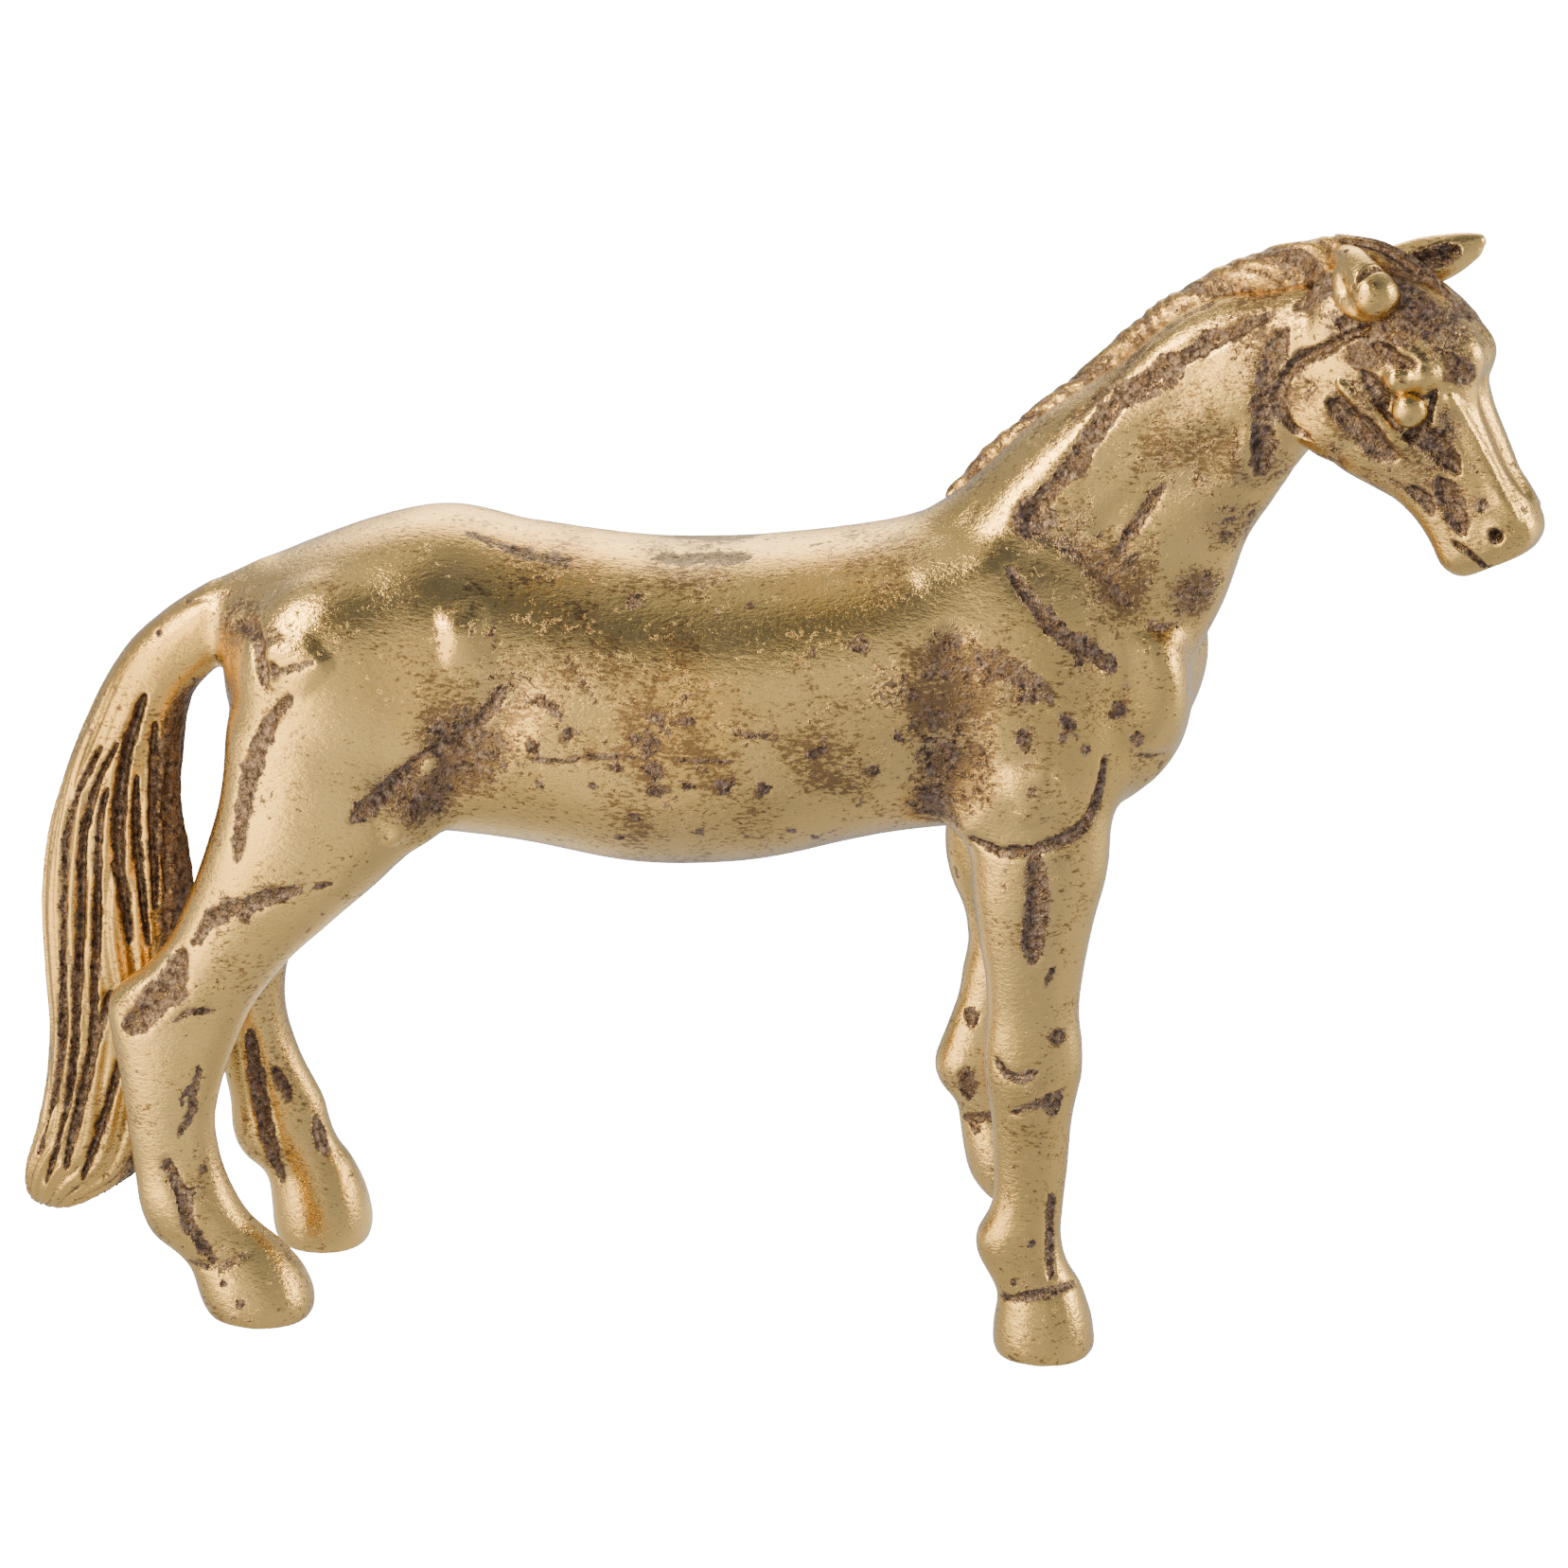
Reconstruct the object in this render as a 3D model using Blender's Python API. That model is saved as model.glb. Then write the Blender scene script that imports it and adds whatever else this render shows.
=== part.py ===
"""A small standing brass horse, drawn as one casting that is divided at its creases into named parts.

The parts are the body, head, ears, eyes, mane, forelock, tail, legs and hooves, and they meet face to face.
The drawing is in millimetres: x runs forward along the horse, y to its left and z up from the floor.
Each part is drawn from sections. A section joins two points of the side outline and has a half width.
"""

import math

import bmesh
import bpy
from mathutils import Matrix, Vector

MM = 0.001
GAP = 0.3                 # left between two parts that meet
CURVE_SHARE = 0.85        # 1 is a full curve through the sections, 0 is straight runs
BODY_VOXEL = 0.45         # the net that melts overlapping skins into one
HEAD_VOXEL = 0.28
BODY_FACES = 4800
HEAD_FACES = 2600

HEAD_PIVOT = Vector((21.6, -1.5, 44.0))
HEAD_YAW = math.radians(-18)   # the head is turned a little to the horse's right
NECK_YAW_FROM = 12.0           # the neck starts to bend at this x

# Sections: (x, z) of the lower or rear point, (x, z) of the upper or front point, half width, middle y.
TRUNK = [
    ((-23.8, 26.6), (-23.6, 31.4), 2.2, 0),
    ((-22.8, 24.6), (-22.6, 32.3), 3.9, 0),
    ((-20.5, 22.6), (-20.5, 33.3), 5.4, 0),
    ((-17.5, 21.7), (-17.5, 34.45), 6.3, 0),
    ((-14.5, 21.35), (-14.5, 35.1), 6.5, 0),
    ((-11.0, 21.1), (-11.0, 34.5), 6.4, 0),
    ((-6.0, 20.4), (-6.0, 33.95), 6.9, 0),
    ((-1.0, 20.7), (-1.0, 34.2), 7.0, 0),
    ((4.0, 22.0), (4.0, 35.0), 6.7, 0),
    ((8.0, 22.6), (8.0, 36.3), 6.1, 0),
    ((12.0, 23.0), (12.0, 36.4), 5.7, 0),
    ((15.0, 24.0), (15.0, 35.4), 4.8, 0),
    ((17.0, 26.7), (17.0, 33.5), 3.0, 0),
]
NECK = [
    ((15.6, 26.5), (3.5, 34.4), 4.4, 0),
    ((17.4, 30.2), (7.0, 36.6), 4.3, 0),
    ((18.65, 32.8), (10.3, 39.8), 3.5, 0),
    ((19.5, 35.5), (13.2, 42.0), 3.0, 0),
    ((20.6, 37.3), (16.0, 44.4), 2.7, 0),
    ((21.5, 38.9), (18.9, 45.8), 2.5, 0),
    ((22.6, 40.3), (21.8, 46.6), 2.3, 0),
]
HEAD = [
    ((22.0, 43.6), (22.4, 47.2), 1.5, 0),
    ((21.3, 42.3), (24.2, 47.7), 2.1, 0),
    ((21.45, 41.3), (26.9, 47.2), 2.45, 0),
    ((22.25, 40.25), (28.95, 45.6), 2.5, 0),
    ((23.6, 39.15), (29.35, 43.9), 2.35, 0),
    ((25.0, 38.5), (29.5, 42.5), 2.0, 0),
    ((26.1, 38.0), (30.1, 41.2), 1.75, 0),
    ((26.9, 37.3), (30.8, 39.8), 1.6, 0),
    ((27.5, 36.5), (31.7, 38.6), 1.55, 0),
    ((28.05, 35.5), (32.15, 37.4), 1.5, 0),
    ((28.8, 35.1), (31.75, 36.5), 1.15, 0),
    ((29.5, 35.3), (30.9, 36.1), 0.6, 0),
]
TAIL = [
    ((-21.2, 29.2), (-22.0, 32.9), 1.7, 0),
    ((-23.2, 28.5), (-24.5, 31.6), 1.7, 0),
    ((-24.6, 27.5), (-26.3, 30.4), 1.75, 0.1),
    ((-25.5, 26.4), (-28.1, 28.8), 1.8, 0.2),
    ((-25.85, 25.1), (-29.4, 26.85), 1.85, 0.3),
    ((-26.05, 23.6), (-30.45, 24.6), 1.95, 0.3),
    ((-26.15, 21.5), (-31.25, 22.4), 2.0, 0.3),
    ((-25.95, 19.6), (-31.95, 20.1), 2.1, 0.3),
    ((-25.7, 17.0), (-32.35, 17.0), 2.1, 0.3),
    ((-25.9, 13.7), (-32.3, 13.7), 2.1, 0.3),
    ((-26.2, 10.5), (-32.2, 11.0), 2.0, 0.3),
    ((-26.8, 7.8), (-32.4, 8.6), 1.9, 0.2),
    ((-27.8, 5.3), (-32.9, 6.4), 1.7, 0.1),
    ((-29.4, 3.9), (-33.4, 4.8), 1.4, 0),
    ((-31.1, 2.9), (-33.5, 3.7), 1.0, 0),
    ((-32.2, 2.7), (-33.2, 3.0), 0.45, 0),
]
RIGHT_HINDLEG = [
    ((-23.2, 27.0), (-13.5, 26.5), 3.0, -3.6),
    ((-23.5, 23.4), (-14.2, 22.6), 2.9, -3.9),
    ((-24.2, 20.9), (-16.2, 20.3), 2.6, -4.1),
    ((-24.9, 18.9), (-18.6, 18.1), 2.25, -4.1),
    ((-25.7, 17.1), (-20.5, 16.3), 1.95, -4.1),
    ((-26.8, 15.7), (-21.7, 14.8), 1.75, -4.1),
    ((-28.0, 14.8), (-22.4, 13.7), 1.65, -4.1),
    ((-28.6, 13.9), (-22.9, 12.5), 1.65, -4.1),
    ((-28.4, 12.4), (-23.3, 11.5), 1.6, -4.1),
    ((-28.1, 10.6), (-23.7, 10.3), 1.45, -4.2),
    ((-27.85, 8.4), (-24.0, 8.6), 1.3, -4.2),
    ((-27.6, 6.4), (-23.7, 6.7), 1.3, -4.2),
    ((-27.4, 4.9), (-23.0, 5.1), 1.5, -4.3),
    ((-26.9, 3.6), (-22.4, 4.3), 1.5, -4.3),
    ((-25.9, 2.8), (-21.8, 3.8), 1.45, -4.3),
]
RIGHT_HIND_HOOF = [
    ((-25.2, 2.1), (-21.3, 3.4), 1.6, -4.3),
    ((-24.9, 1.1), (-20.3, 2.2), 2.0, -4.3),
    ((-24.6, 0.4), (-19.8, 0.9), 2.25, -4.3),
    ((-24.1, 0.0), (-20.1, 0.0), 2.05, -4.3),
]
LEFT_HINDLEG = [
    ((-23.0, 27.0), (-13.5, 26.5), 3.0, 3.6),
    ((-23.1, 23.4), (-13.8, 22.6), 2.9, 3.9),
    ((-23.4, 20.9), (-15.5, 20.2), 2.6, 4.1),
    ((-23.9, 18.9), (-18.3, 18.1), 2.25, 4.2),
    ((-24.4, 17.1), (-20.2, 16.4), 1.95, 4.3),
    ((-25.3, 15.7), (-21.5, 14.9), 1.75, 4.3),
    ((-26.3, 14.8), (-22.2, 13.8), 1.65, 4.4),
    ((-26.8, 13.9), (-22.6, 12.6), 1.65, 4.4),
    ((-26.4, 12.2), (-22.7, 11.2), 1.6, 4.4),
    ((-26.0, 10.3), (-22.5, 9.9), 1.45, 4.5),
    ((-25.6, 8.2), (-21.9, 8.3), 1.3, 4.5),
    ((-25.3, 6.4), (-21.1, 6.7), 1.3, 4.6),
    ((-25.2, 4.9), (-20.8, 5.5), 1.5, 4.6),
    ((-24.7, 3.9), (-20.5, 4.7), 1.5, 4.6),
    ((-23.9, 3.3), (-20.2, 4.3), 1.45, 4.6),
]
LEFT_HIND_HOOF = [
    ((-23.6, 2.6), (-19.9, 3.9), 1.6, 4.6),
    ((-23.5, 1.5), (-19.3, 2.5), 2.0, 4.6),
    ((-23.4, 0.5), (-19.0, 1.0), 2.2, 4.6),
    ((-23.0, 0.0), (-19.4, 0.0), 2.0, 4.6),
]
RIGHT_FORELEG = [
    ((8.2, 26.6), (14.4, 27.0), 2.5, -3.5),
    ((8.3, 23.4), (14.3, 24.0), 2.4, -3.7),
    ((8.4, 21.0), (14.2, 21.6), 2.25, -3.8),
    ((8.7, 18.8), (13.6, 19.3), 2.0, -3.8),
    ((9.05, 16.8), (13.2, 17.1), 1.75, -3.8),
    ((9.1, 15.2), (13.05, 15.4), 1.6, -3.8),
    ((9.0, 13.6), (13.2, 13.9), 1.65, -3.8),
    ((9.05, 12.3), (13.2, 12.6), 1.65, -3.8),
    ((9.3, 11.0), (12.85, 10.8), 1.45, -3.8),
    ((9.45, 9.2), (12.7, 9.0), 1.3, -3.8),
    ((9.5, 7.5), (12.55, 7.4), 1.25, -3.8),
    ((9.3, 6.4), (12.45, 6.4), 1.35, -3.8),
    ((8.7, 5.3), (12.4, 5.5), 1.5, -3.8),
    ((8.8, 4.4), (12.5, 4.6), 1.5, -3.8),
    ((9.35, 3.4), (12.8, 3.8), 1.5, -3.8),
]
RIGHT_FORE_HOOF = [
    ((9.7, 2.6), (13.2, 3.2), 1.65, -3.8),
    ((9.5, 1.4), (13.7, 1.8), 2.0, -3.8),
    ((9.5, 0.4), (13.9, 0.5), 2.2, -3.8),
    ((9.8, 0.0), (13.6, 0.0), 2.0, -3.8),
]
LEFT_FORELEG = [
    ((7.2, 26.0), (14.2, 27.0), 2.5, 3.5),
    ((6.95, 23.4), (13.9, 24.4), 2.4, 3.7),
    ((6.35, 21.0), (13.3, 22.2), 2.2, 3.9),
    ((6.55, 18.8), (12.8, 20.2), 2.0, 4.1),
    ((7.2, 17.0), (12.5, 18.3), 1.75, 4.3),
    ((7.4, 15.6), (12.4, 16.5), 1.7, 4.3),
    ((7.2, 14.5), (11.9, 14.8), 1.6, 4.2),
    ((7.0, 13.2), (10.7, 13.2), 1.35, 4.0),
    ((6.5, 11.7), (9.9, 11.7), 1.3, 3.8),
    ((6.0, 10.2), (9.7, 10.5), 1.5, 3.7),
    ((6.3, 9.2), (9.9, 9.6), 1.45, 3.7),
    ((7.0, 8.4), (10.2, 8.9), 1.4, 3.7),
]
LEFT_FORE_HOOF = [
    ((7.15, 7.6), (10.5, 8.1), 1.55, 3.7),
    ((7.3, 6.6), (11.0, 7.0), 1.9, 3.7),
    ((7.6, 5.3), (11.5, 5.4), 2.1, 3.7),
    ((8.2, 4.5), (11.6, 4.3), 2.1, 3.7),
    ((8.6, 4.2), (11.3, 4.0), 1.9, 3.7),
]

# Rounded masses: middle, the three half sizes, and the lean in the side view in degrees. One of each side.
BODY_MASSES = [
    ((10.6, 3.6, 29.0), (4.4, 2.6, 6.6), -18),    # shoulder
    ((10.6, 4.3, 25.6), (3.9, 1.9, 3.0), -25),    # upper arm above the elbow
    ((15.0, 2.1, 28.0), (2.35, 1.9, 3.8), 18),     # breast
    ((-17.6, 3.5, 28.2), (5.3, 3.3, 5.1), 20),    # haunch
    ((-15.2, 4.6, 23.8), (2.0, 1.5, 2.6), 25),    # stifle
]
HEAD_MASSES = [
    ((23.8, 1.3, 41.8), (2.3, 1.25, 2.3), 0),     # cheek
    ((27.3, 1.65, 43.4), (1.2, 0.85, 0.8), 50),   # brow over the eye
    ((30.7, 0.9, 37.3), (0.9, 0.75, 1.0), 0),     # nostril wing
]
EYE = (27.05, 1.75, 42.25)
EYE_RADIUS = 0.72
EAR_ROOTS = {"right": (24.3, -1.0, 47.4), "left": (25.1, 1.7, 47.0)}
EAR_TIPS = {"right": (26.75, -3.0, 46.7), "left": (28.0, 2.8, 48.2)}
# How far along the ear, then its half width and half thickness there.
EAR_SECTIONS = [
    (-0.25, 0.8, 0.7),
    (0.0, 0.95, 0.85),
    (0.25, 1.1, 0.95),
    (0.5, 1.1, 0.9),
    (0.75, 0.85, 0.7),
    (0.92, 0.45, 0.4),
    (1.0, 0.15, 0.15),
]

# The mane stands along the crest and hangs down the left side of the neck.
MANE = [
    ((7.2, 35.6), (6.5, 36.3), 0.5, 1.3),
    ((8.9, 36.2), (8.1, 38.2), 0.75, 1.5),
    ((10.9, 37.3), (10.3, 40.2), 0.9, 1.5),
    ((13.0, 39.0), (12.6, 42.2), 1.0, 1.4),
    ((15.4, 41.2), (14.9, 44.5), 1.1, 1.3),
    ((18.3, 43.0), (17.6, 46.4), 1.1, 1.1),
    ((20.8, 44.4), (20.3, 47.8), 1.1, 0.8),
    ((23.0, 44.8), (22.9, 48.5), 0.85, 0.5),
]
FORELOCK = [
    ((23.2, 46.9), (22.8, 48.7), 0.7, 0),
    ((24.6, 46.6), (24.8, 48.6), 0.85, 0),
    ((25.8, 45.7), (26.7, 47.8), 0.85, 0),
    ((27.0, 44.6), (28.1, 46.5), 0.7, 0),
    ((28.0, 43.9), (28.9, 45.2), 0.35, 0),
]

# Where the legs and the tail meet the body: a point on the joint's face, and the lean of the face.
LEG_JOINTS = {
    "right_foreleg": ((11.2, -3.8, 22.5), 3),
    "left_foreleg": ((10.4, 3.9, 22.0), 3),
    "right_hindleg": ((-21.4, -4.1, 18.9), 11),
    "left_hindleg": ((-20.8, 4.2, 18.9), 11),
}
TAIL_JOINT = Vector((-24.2, 0, 30.0))
TAIL_OUT = Vector((-1, 0, 0))
TRIM_BLOCK = 9.4          # edge of the helper block that trims one stump of the body

BRASS = {"colour": (0.56, 0.41, 0.17), "roughness": 0.28}
DARK_BRASS = {"colour": (0.36, 0.27, 0.14), "roughness": 0.45}


def material(name, look):
    made = bpy.data.materials.new(name)
    made.use_nodes = True
    shader = made.node_tree.nodes["Principled BSDF"]
    shader.inputs["Base Color"].default_value = (*look["colour"], 1)
    shader.inputs["Roughness"].default_value = look["roughness"]
    shader.inputs["Metallic"].default_value = 1
    return made


def smooth_between(values, t):
    """The value at t, in steps of one per station, on a slightly tightened Catmull-Rom curve."""
    i = min(int(t), len(values) - 2)
    before, a, b, after = (values[min(max(k, 0), len(values) - 1)] for k in range(i - 1, i + 3))
    f = t - i
    straight = a + (b - a) * f
    bend = (2 * before - 5 * a + 4 * b - after, 3 * (a - b) + after - before)
    curve = a + 0.5 * f * ((b - before) + f * (bend[0] + f * bend[1]))
    return straight + (curve - straight) * CURVE_SHARE


def section_ring(bm, low, high, half_width, middle_y, sides, square):
    """One closed ring of points. square is 2 for an ellipse, and more for a boxier section."""
    centre = (low + high) / 2
    tall = (high - low) / 2
    power = 2 / square
    points = []
    for k in range(sides):
        turn = math.tau * k / sides
        c, s = math.cos(turn), math.sin(turn)
        up = math.copysign(abs(c) ** power, c)
        side = math.copysign(abs(s) ** power, s)
        place = (centre.x + tall.x * up, middle_y + half_width * side, centre.y + tall.y * up)
        points.append(bm.verts.new(place))
    return points


def loft(bm, sections, sides=20, steps=3, square=2.2):
    """A closed skin through the sections, in bm. Faces point outwards. Returns its new points."""
    lows = [Vector(s[0]) for s in sections]
    highs = [Vector(s[1]) for s in sections]
    widths = [s[2] for s in sections]
    middles = [s[3] for s in sections]
    rings = []
    for k in range(steps * (len(sections) - 1) + 1):
        t = k / steps
        ring = [smooth_between(v, t) for v in (lows, highs, widths, middles)]
        rings.append(section_ring(bm, *ring, sides, square))
    faces = []
    for one, two in zip(rings, rings[1:]):
        for k in range(sides):
            faces.append(bm.faces.new((one[k], one[k - 1], two[k - 1], two[k])))
    faces.append(bm.faces.new(rings[0]))
    faces.append(bm.faces.new(rings[-1][::-1]))
    bmesh.ops.recalc_face_normals(bm, faces=faces)
    return [point for ring in rings for point in ring]


def mass(bm, middle, sizes, lean):
    """An ellipsoid, leaned in the side view."""
    place = Matrix.Translation(middle) @ Matrix.Rotation(math.radians(lean), 4, "Y")
    bmesh.ops.create_icosphere(bm, subdivisions=3, radius=1, matrix=place @ Matrix.Diagonal((*sizes, 1)))


def both_sides(bm, masses):
    for (x, y, z), sizes, lean in masses:
        for side in (-1, 1):
            mass(bm, (x, side * y, z), sizes, lean)


def object_from(bm, name):
    mesh = bpy.data.meshes.new(name)
    bm.to_mesh(mesh)
    bm.free()
    made = bpy.data.objects.new(name, mesh)
    bpy.context.collection.objects.link(made)
    return made


def bake_modifiers(obj):
    """Turns the object's modifiers into its mesh."""
    bpy.context.view_layer.update()
    graph = bpy.context.evaluated_depsgraph_get()
    mesh = bpy.data.meshes.new_from_object(obj.evaluated_get(graph))
    obj.modifiers.clear()
    obj.data = mesh


def melt_together(obj, voxel, rounds):
    """Joins overlapping skins into one, and softens the creases between them."""
    remesh = obj.modifiers.new("melt", "REMESH")
    remesh.mode = "VOXEL"
    remesh.voxel_size = voxel
    soften = obj.modifiers.new("soften", "SMOOTH")
    soften.factor = 0.5
    soften.iterations = rounds
    bake_modifiers(obj)


def thin_out(obj, faces):
    """Fewer faces, for a light solid."""
    count = sum(len(p.vertices) - 2 for p in obj.data.polygons)
    if count > faces:
        fewer = obj.modifiers.new("fewer", "DECIMATE")
        fewer.ratio = faces / count
        fewer.use_collapse_triangulate = True
        bake_modifiers(obj)


def grown(obj, by):
    """A helper copy of the object, larger by this much all round."""
    cutter = bpy.data.objects.new(obj.name + "_cutter", obj.data.copy())
    bpy.context.collection.objects.link(cutter)
    push = cutter.modifiers.new("grow", "DISPLACE")
    push.mid_level = 0
    push.strength = by
    bake_modifiers(cutter)
    cutter.hide_render = True
    cutter.display_type = "WIRE"
    return cutter


def cut_away(obj, cutters):
    for cutter in cutters:
        cut = obj.modifiers.new("cut", "BOOLEAN")
        cut.operation = "DIFFERENCE"
        cut.object = cutter
        bake_modifiers(obj)
    keep_largest_body(obj)


def keep_largest_body(obj):
    """Drops slivers that a cut leaves loose."""
    bm = bmesh.new()
    bm.from_mesh(obj.data)
    left = set(bm.verts)
    bodies = []
    while left:
        todo = [left.pop()]
        body = set(todo)
        while todo:
            for edge in todo.pop().link_edges:
                for vert in edge.verts:
                    if vert in left:
                        left.remove(vert)
                        body.add(vert)
                        todo.append(vert)
        bodies.append(body)
    largest = max(bodies, key=len)
    loose = [v for body in bodies if body is not largest for v in body]
    bmesh.ops.delete(bm, geom=loose, context="VERTS")
    bm.to_mesh(obj.data)
    bm.free()


def slice_off(obj, point, normal):
    """Cuts the whole object square at a plane, drops what is on the normal's side and closes the face."""
    bm = bmesh.new()
    bm.from_mesh(obj.data)
    geometry = bm.verts[:] + bm.edges[:] + bm.faces[:]
    bmesh.ops.bisect_plane(bm, geom=geometry, dist=1e-5, plane_co=point, plane_no=normal, clear_outer=True)
    rim = [e for e in bm.edges if e.is_boundary]
    bmesh.ops.holes_fill(bm, edges=rim)
    bmesh.ops.recalc_face_normals(bm, faces=bm.faces[:])
    bmesh.ops.triangulate(bm, faces=[f for f in bm.faces if len(f.verts) > 4])
    bm.to_mesh(obj.data)
    bm.free()


def trim_stump(obj, point, normal, size):
    """Cuts one stump square: a helper block with its face on the plane takes away what lies beyond."""
    turn = normal.to_track_quat("Z", "Y").to_matrix().to_4x4()
    place = Matrix.Translation(Vector(point) + normal * size / 2) @ turn
    bm = bmesh.new()
    bmesh.ops.create_cube(bm, size=size, matrix=place)
    block = object_from(bm, obj.name + "_block")
    block.hide_render = True
    block.display_type = "WIRE"
    cut_away(obj, [block])


def turn_head(point):
    """Where a point drawn in the straight profile is, with the head turned about its pivot."""
    turn = Matrix.Rotation(HEAD_YAW, 3, "Z")
    return turn @ (Vector(point) - Vector((HEAD_PIVOT.x, 0, HEAD_PIVOT.z))) + HEAD_PIVOT


def bend_neck(verts):
    """Bends the upper neck sideways, little by little, towards the turned head."""
    reach = HEAD_PIVOT.x - NECK_YAW_FROM
    for v in verts:
        share = min(max((v.co.x - NECK_YAW_FROM) / reach, 0), 1) ** 2
        v.co.y += 0.5 * reach * share * math.tan(HEAD_YAW)


def joint_of(sections, hoof_sections):
    """The plane between a leg and its hoof: halfway between the leg's last section and the hoof's first."""
    low = (Vector(sections[-1][0]) + Vector(hoof_sections[0][0])) / 2
    high = (Vector(sections[-1][1]) + Vector(hoof_sections[0][1])) / 2
    along = high - low
    middle = Vector(((low.x + high.x) / 2, sections[-1][3], (low.y + high.y) / 2))
    return middle, Vector((along.y, 0, -along.x))


def joint_normal(degrees):
    """Points down, out of the body, for a joint face that rises this much towards the front."""
    lean = math.radians(degrees)
    return Vector((math.sin(lean), 0, -math.cos(lean)))


def build_body():
    bm = bmesh.new()
    loft(bm, TRUNK, sides=28, square=2.3)
    bend_neck(loft(bm, NECK, sides=24, square=2.2))
    loft(bm, TAIL[:4], sides=20)
    for sections in (RIGHT_HINDLEG[:6], LEFT_HINDLEG[:6], RIGHT_FORELEG[:4], LEFT_FORELEG[:4]):
        loft(bm, sections, sides=20)
    both_sides(bm, BODY_MASSES)
    body = object_from(bm, "body")
    melt_together(body, BODY_VOXEL, 6)
    for point, lean in LEG_JOINTS.values():
        normal = joint_normal(lean)
        trim_stump(body, Vector(point) - normal * GAP / 2, normal, TRIM_BLOCK)
    trim_stump(body, TAIL_JOINT - TAIL_OUT * GAP / 2, TAIL_OUT, TRIM_BLOCK)
    return body


def build_head():
    bm = bmesh.new()
    loft(bm, HEAD, sides=24, square=2.5)
    both_sides(bm, HEAD_MASSES)
    for v in bm.verts:
        v.co = turn_head(v.co)
    head = object_from(bm, "head")
    melt_together(head, HEAD_VOXEL, 3)
    return head


def build_leg(name, sections, hoof_name, hoof_sections):
    """A leg below its joint with the body, and its hoof."""
    bm = bmesh.new()
    loft(bm, sections + hoof_sections[:2], sides=18, steps=2)
    leg = object_from(bm, name)
    point, lean = LEG_JOINTS[name]
    normal = joint_normal(lean)
    slice_off(leg, Vector(point) + normal * GAP / 2, -normal)
    foot, out = joint_of(sections, hoof_sections)
    out = out.normalized() * (1 if out.z < 0 else -1)
    slice_off(leg, foot - out * GAP / 2, out)
    bm = bmesh.new()
    loft(bm, sections[-2:] + hoof_sections, sides=20, steps=2)
    hoof = object_from(bm, hoof_name)
    slice_off(hoof, foot + out * GAP / 2, -out)
    return leg, hoof


def build_tail():
    bm = bmesh.new()
    loft(bm, TAIL, sides=18, steps=2)
    tail = object_from(bm, "tail")
    slice_off(tail, TAIL_JOINT + TAIL_OUT * GAP / 2, -TAIL_OUT)
    return tail


def build_ear(side):
    """A leaf-shaped ear, hollowed at the front."""
    root, tip = turn_head(EAR_ROOTS[side]), turn_head(EAR_TIPS[side])
    axis = tip - root
    frame = axis.to_track_quat("X", "Z").to_matrix()
    bm = bmesh.new()
    rings = []
    sides = 14
    for share, wide, deep in EAR_SECTIONS:
        ring = []
        for k in range(sides):
            turn = math.tau * k / sides
            offset = Vector((0, wide * math.cos(turn), deep * math.sin(turn)))
            ring.append(bm.verts.new(root + axis * share + frame @ offset))
        rings.append(ring)
    for one, two in zip(rings, rings[1:]):
        for k in range(sides):
            bm.faces.new((one[k], one[k - 1], two[k - 1], two[k]))
    bm.faces.new(rings[0])
    bm.faces.new(rings[-1][::-1])
    bmesh.ops.recalc_face_normals(bm, faces=bm.faces[:])
    return object_from(bm, f"{side}_ear")


def build_eye(side, sign):
    bm = bmesh.new()
    x, y, z = EYE
    mass(bm, turn_head((x, sign * y, z)), (EYE_RADIUS,) * 3, 0)
    return object_from(bm, f"{side}_eye")


def build_hair(name, sections, turned):
    bm = bmesh.new()
    verts = loft(bm, sections, sides=16, steps=2)
    if turned:
        for v in verts:
            v.co = turn_head(v.co)
    else:
        bend_neck(verts)
    return object_from(bm, name)


def finish(obj, look):
    """To metres, shaded, with its material."""
    obj.data.transform(Matrix.Scale(MM, 4))
    obj.data.materials.clear()
    obj.data.materials.append(look)
    obj.data.shade_smooth()
    obj.data.set_sharp_from_angle(angle=math.radians(40))


def centre_on_floor(pieces):
    """Puts the middle of the horse's outline over the origin."""
    points = [v.co for piece in pieces for v in piece.data.vertices]
    middle = [(min(p[k] for p in points) + max(p[k] for p in points)) / 2 for k in range(2)]
    for piece in pieces:
        piece.data.transform(Matrix.Translation((-middle[0], -middle[1], 0)))


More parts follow.
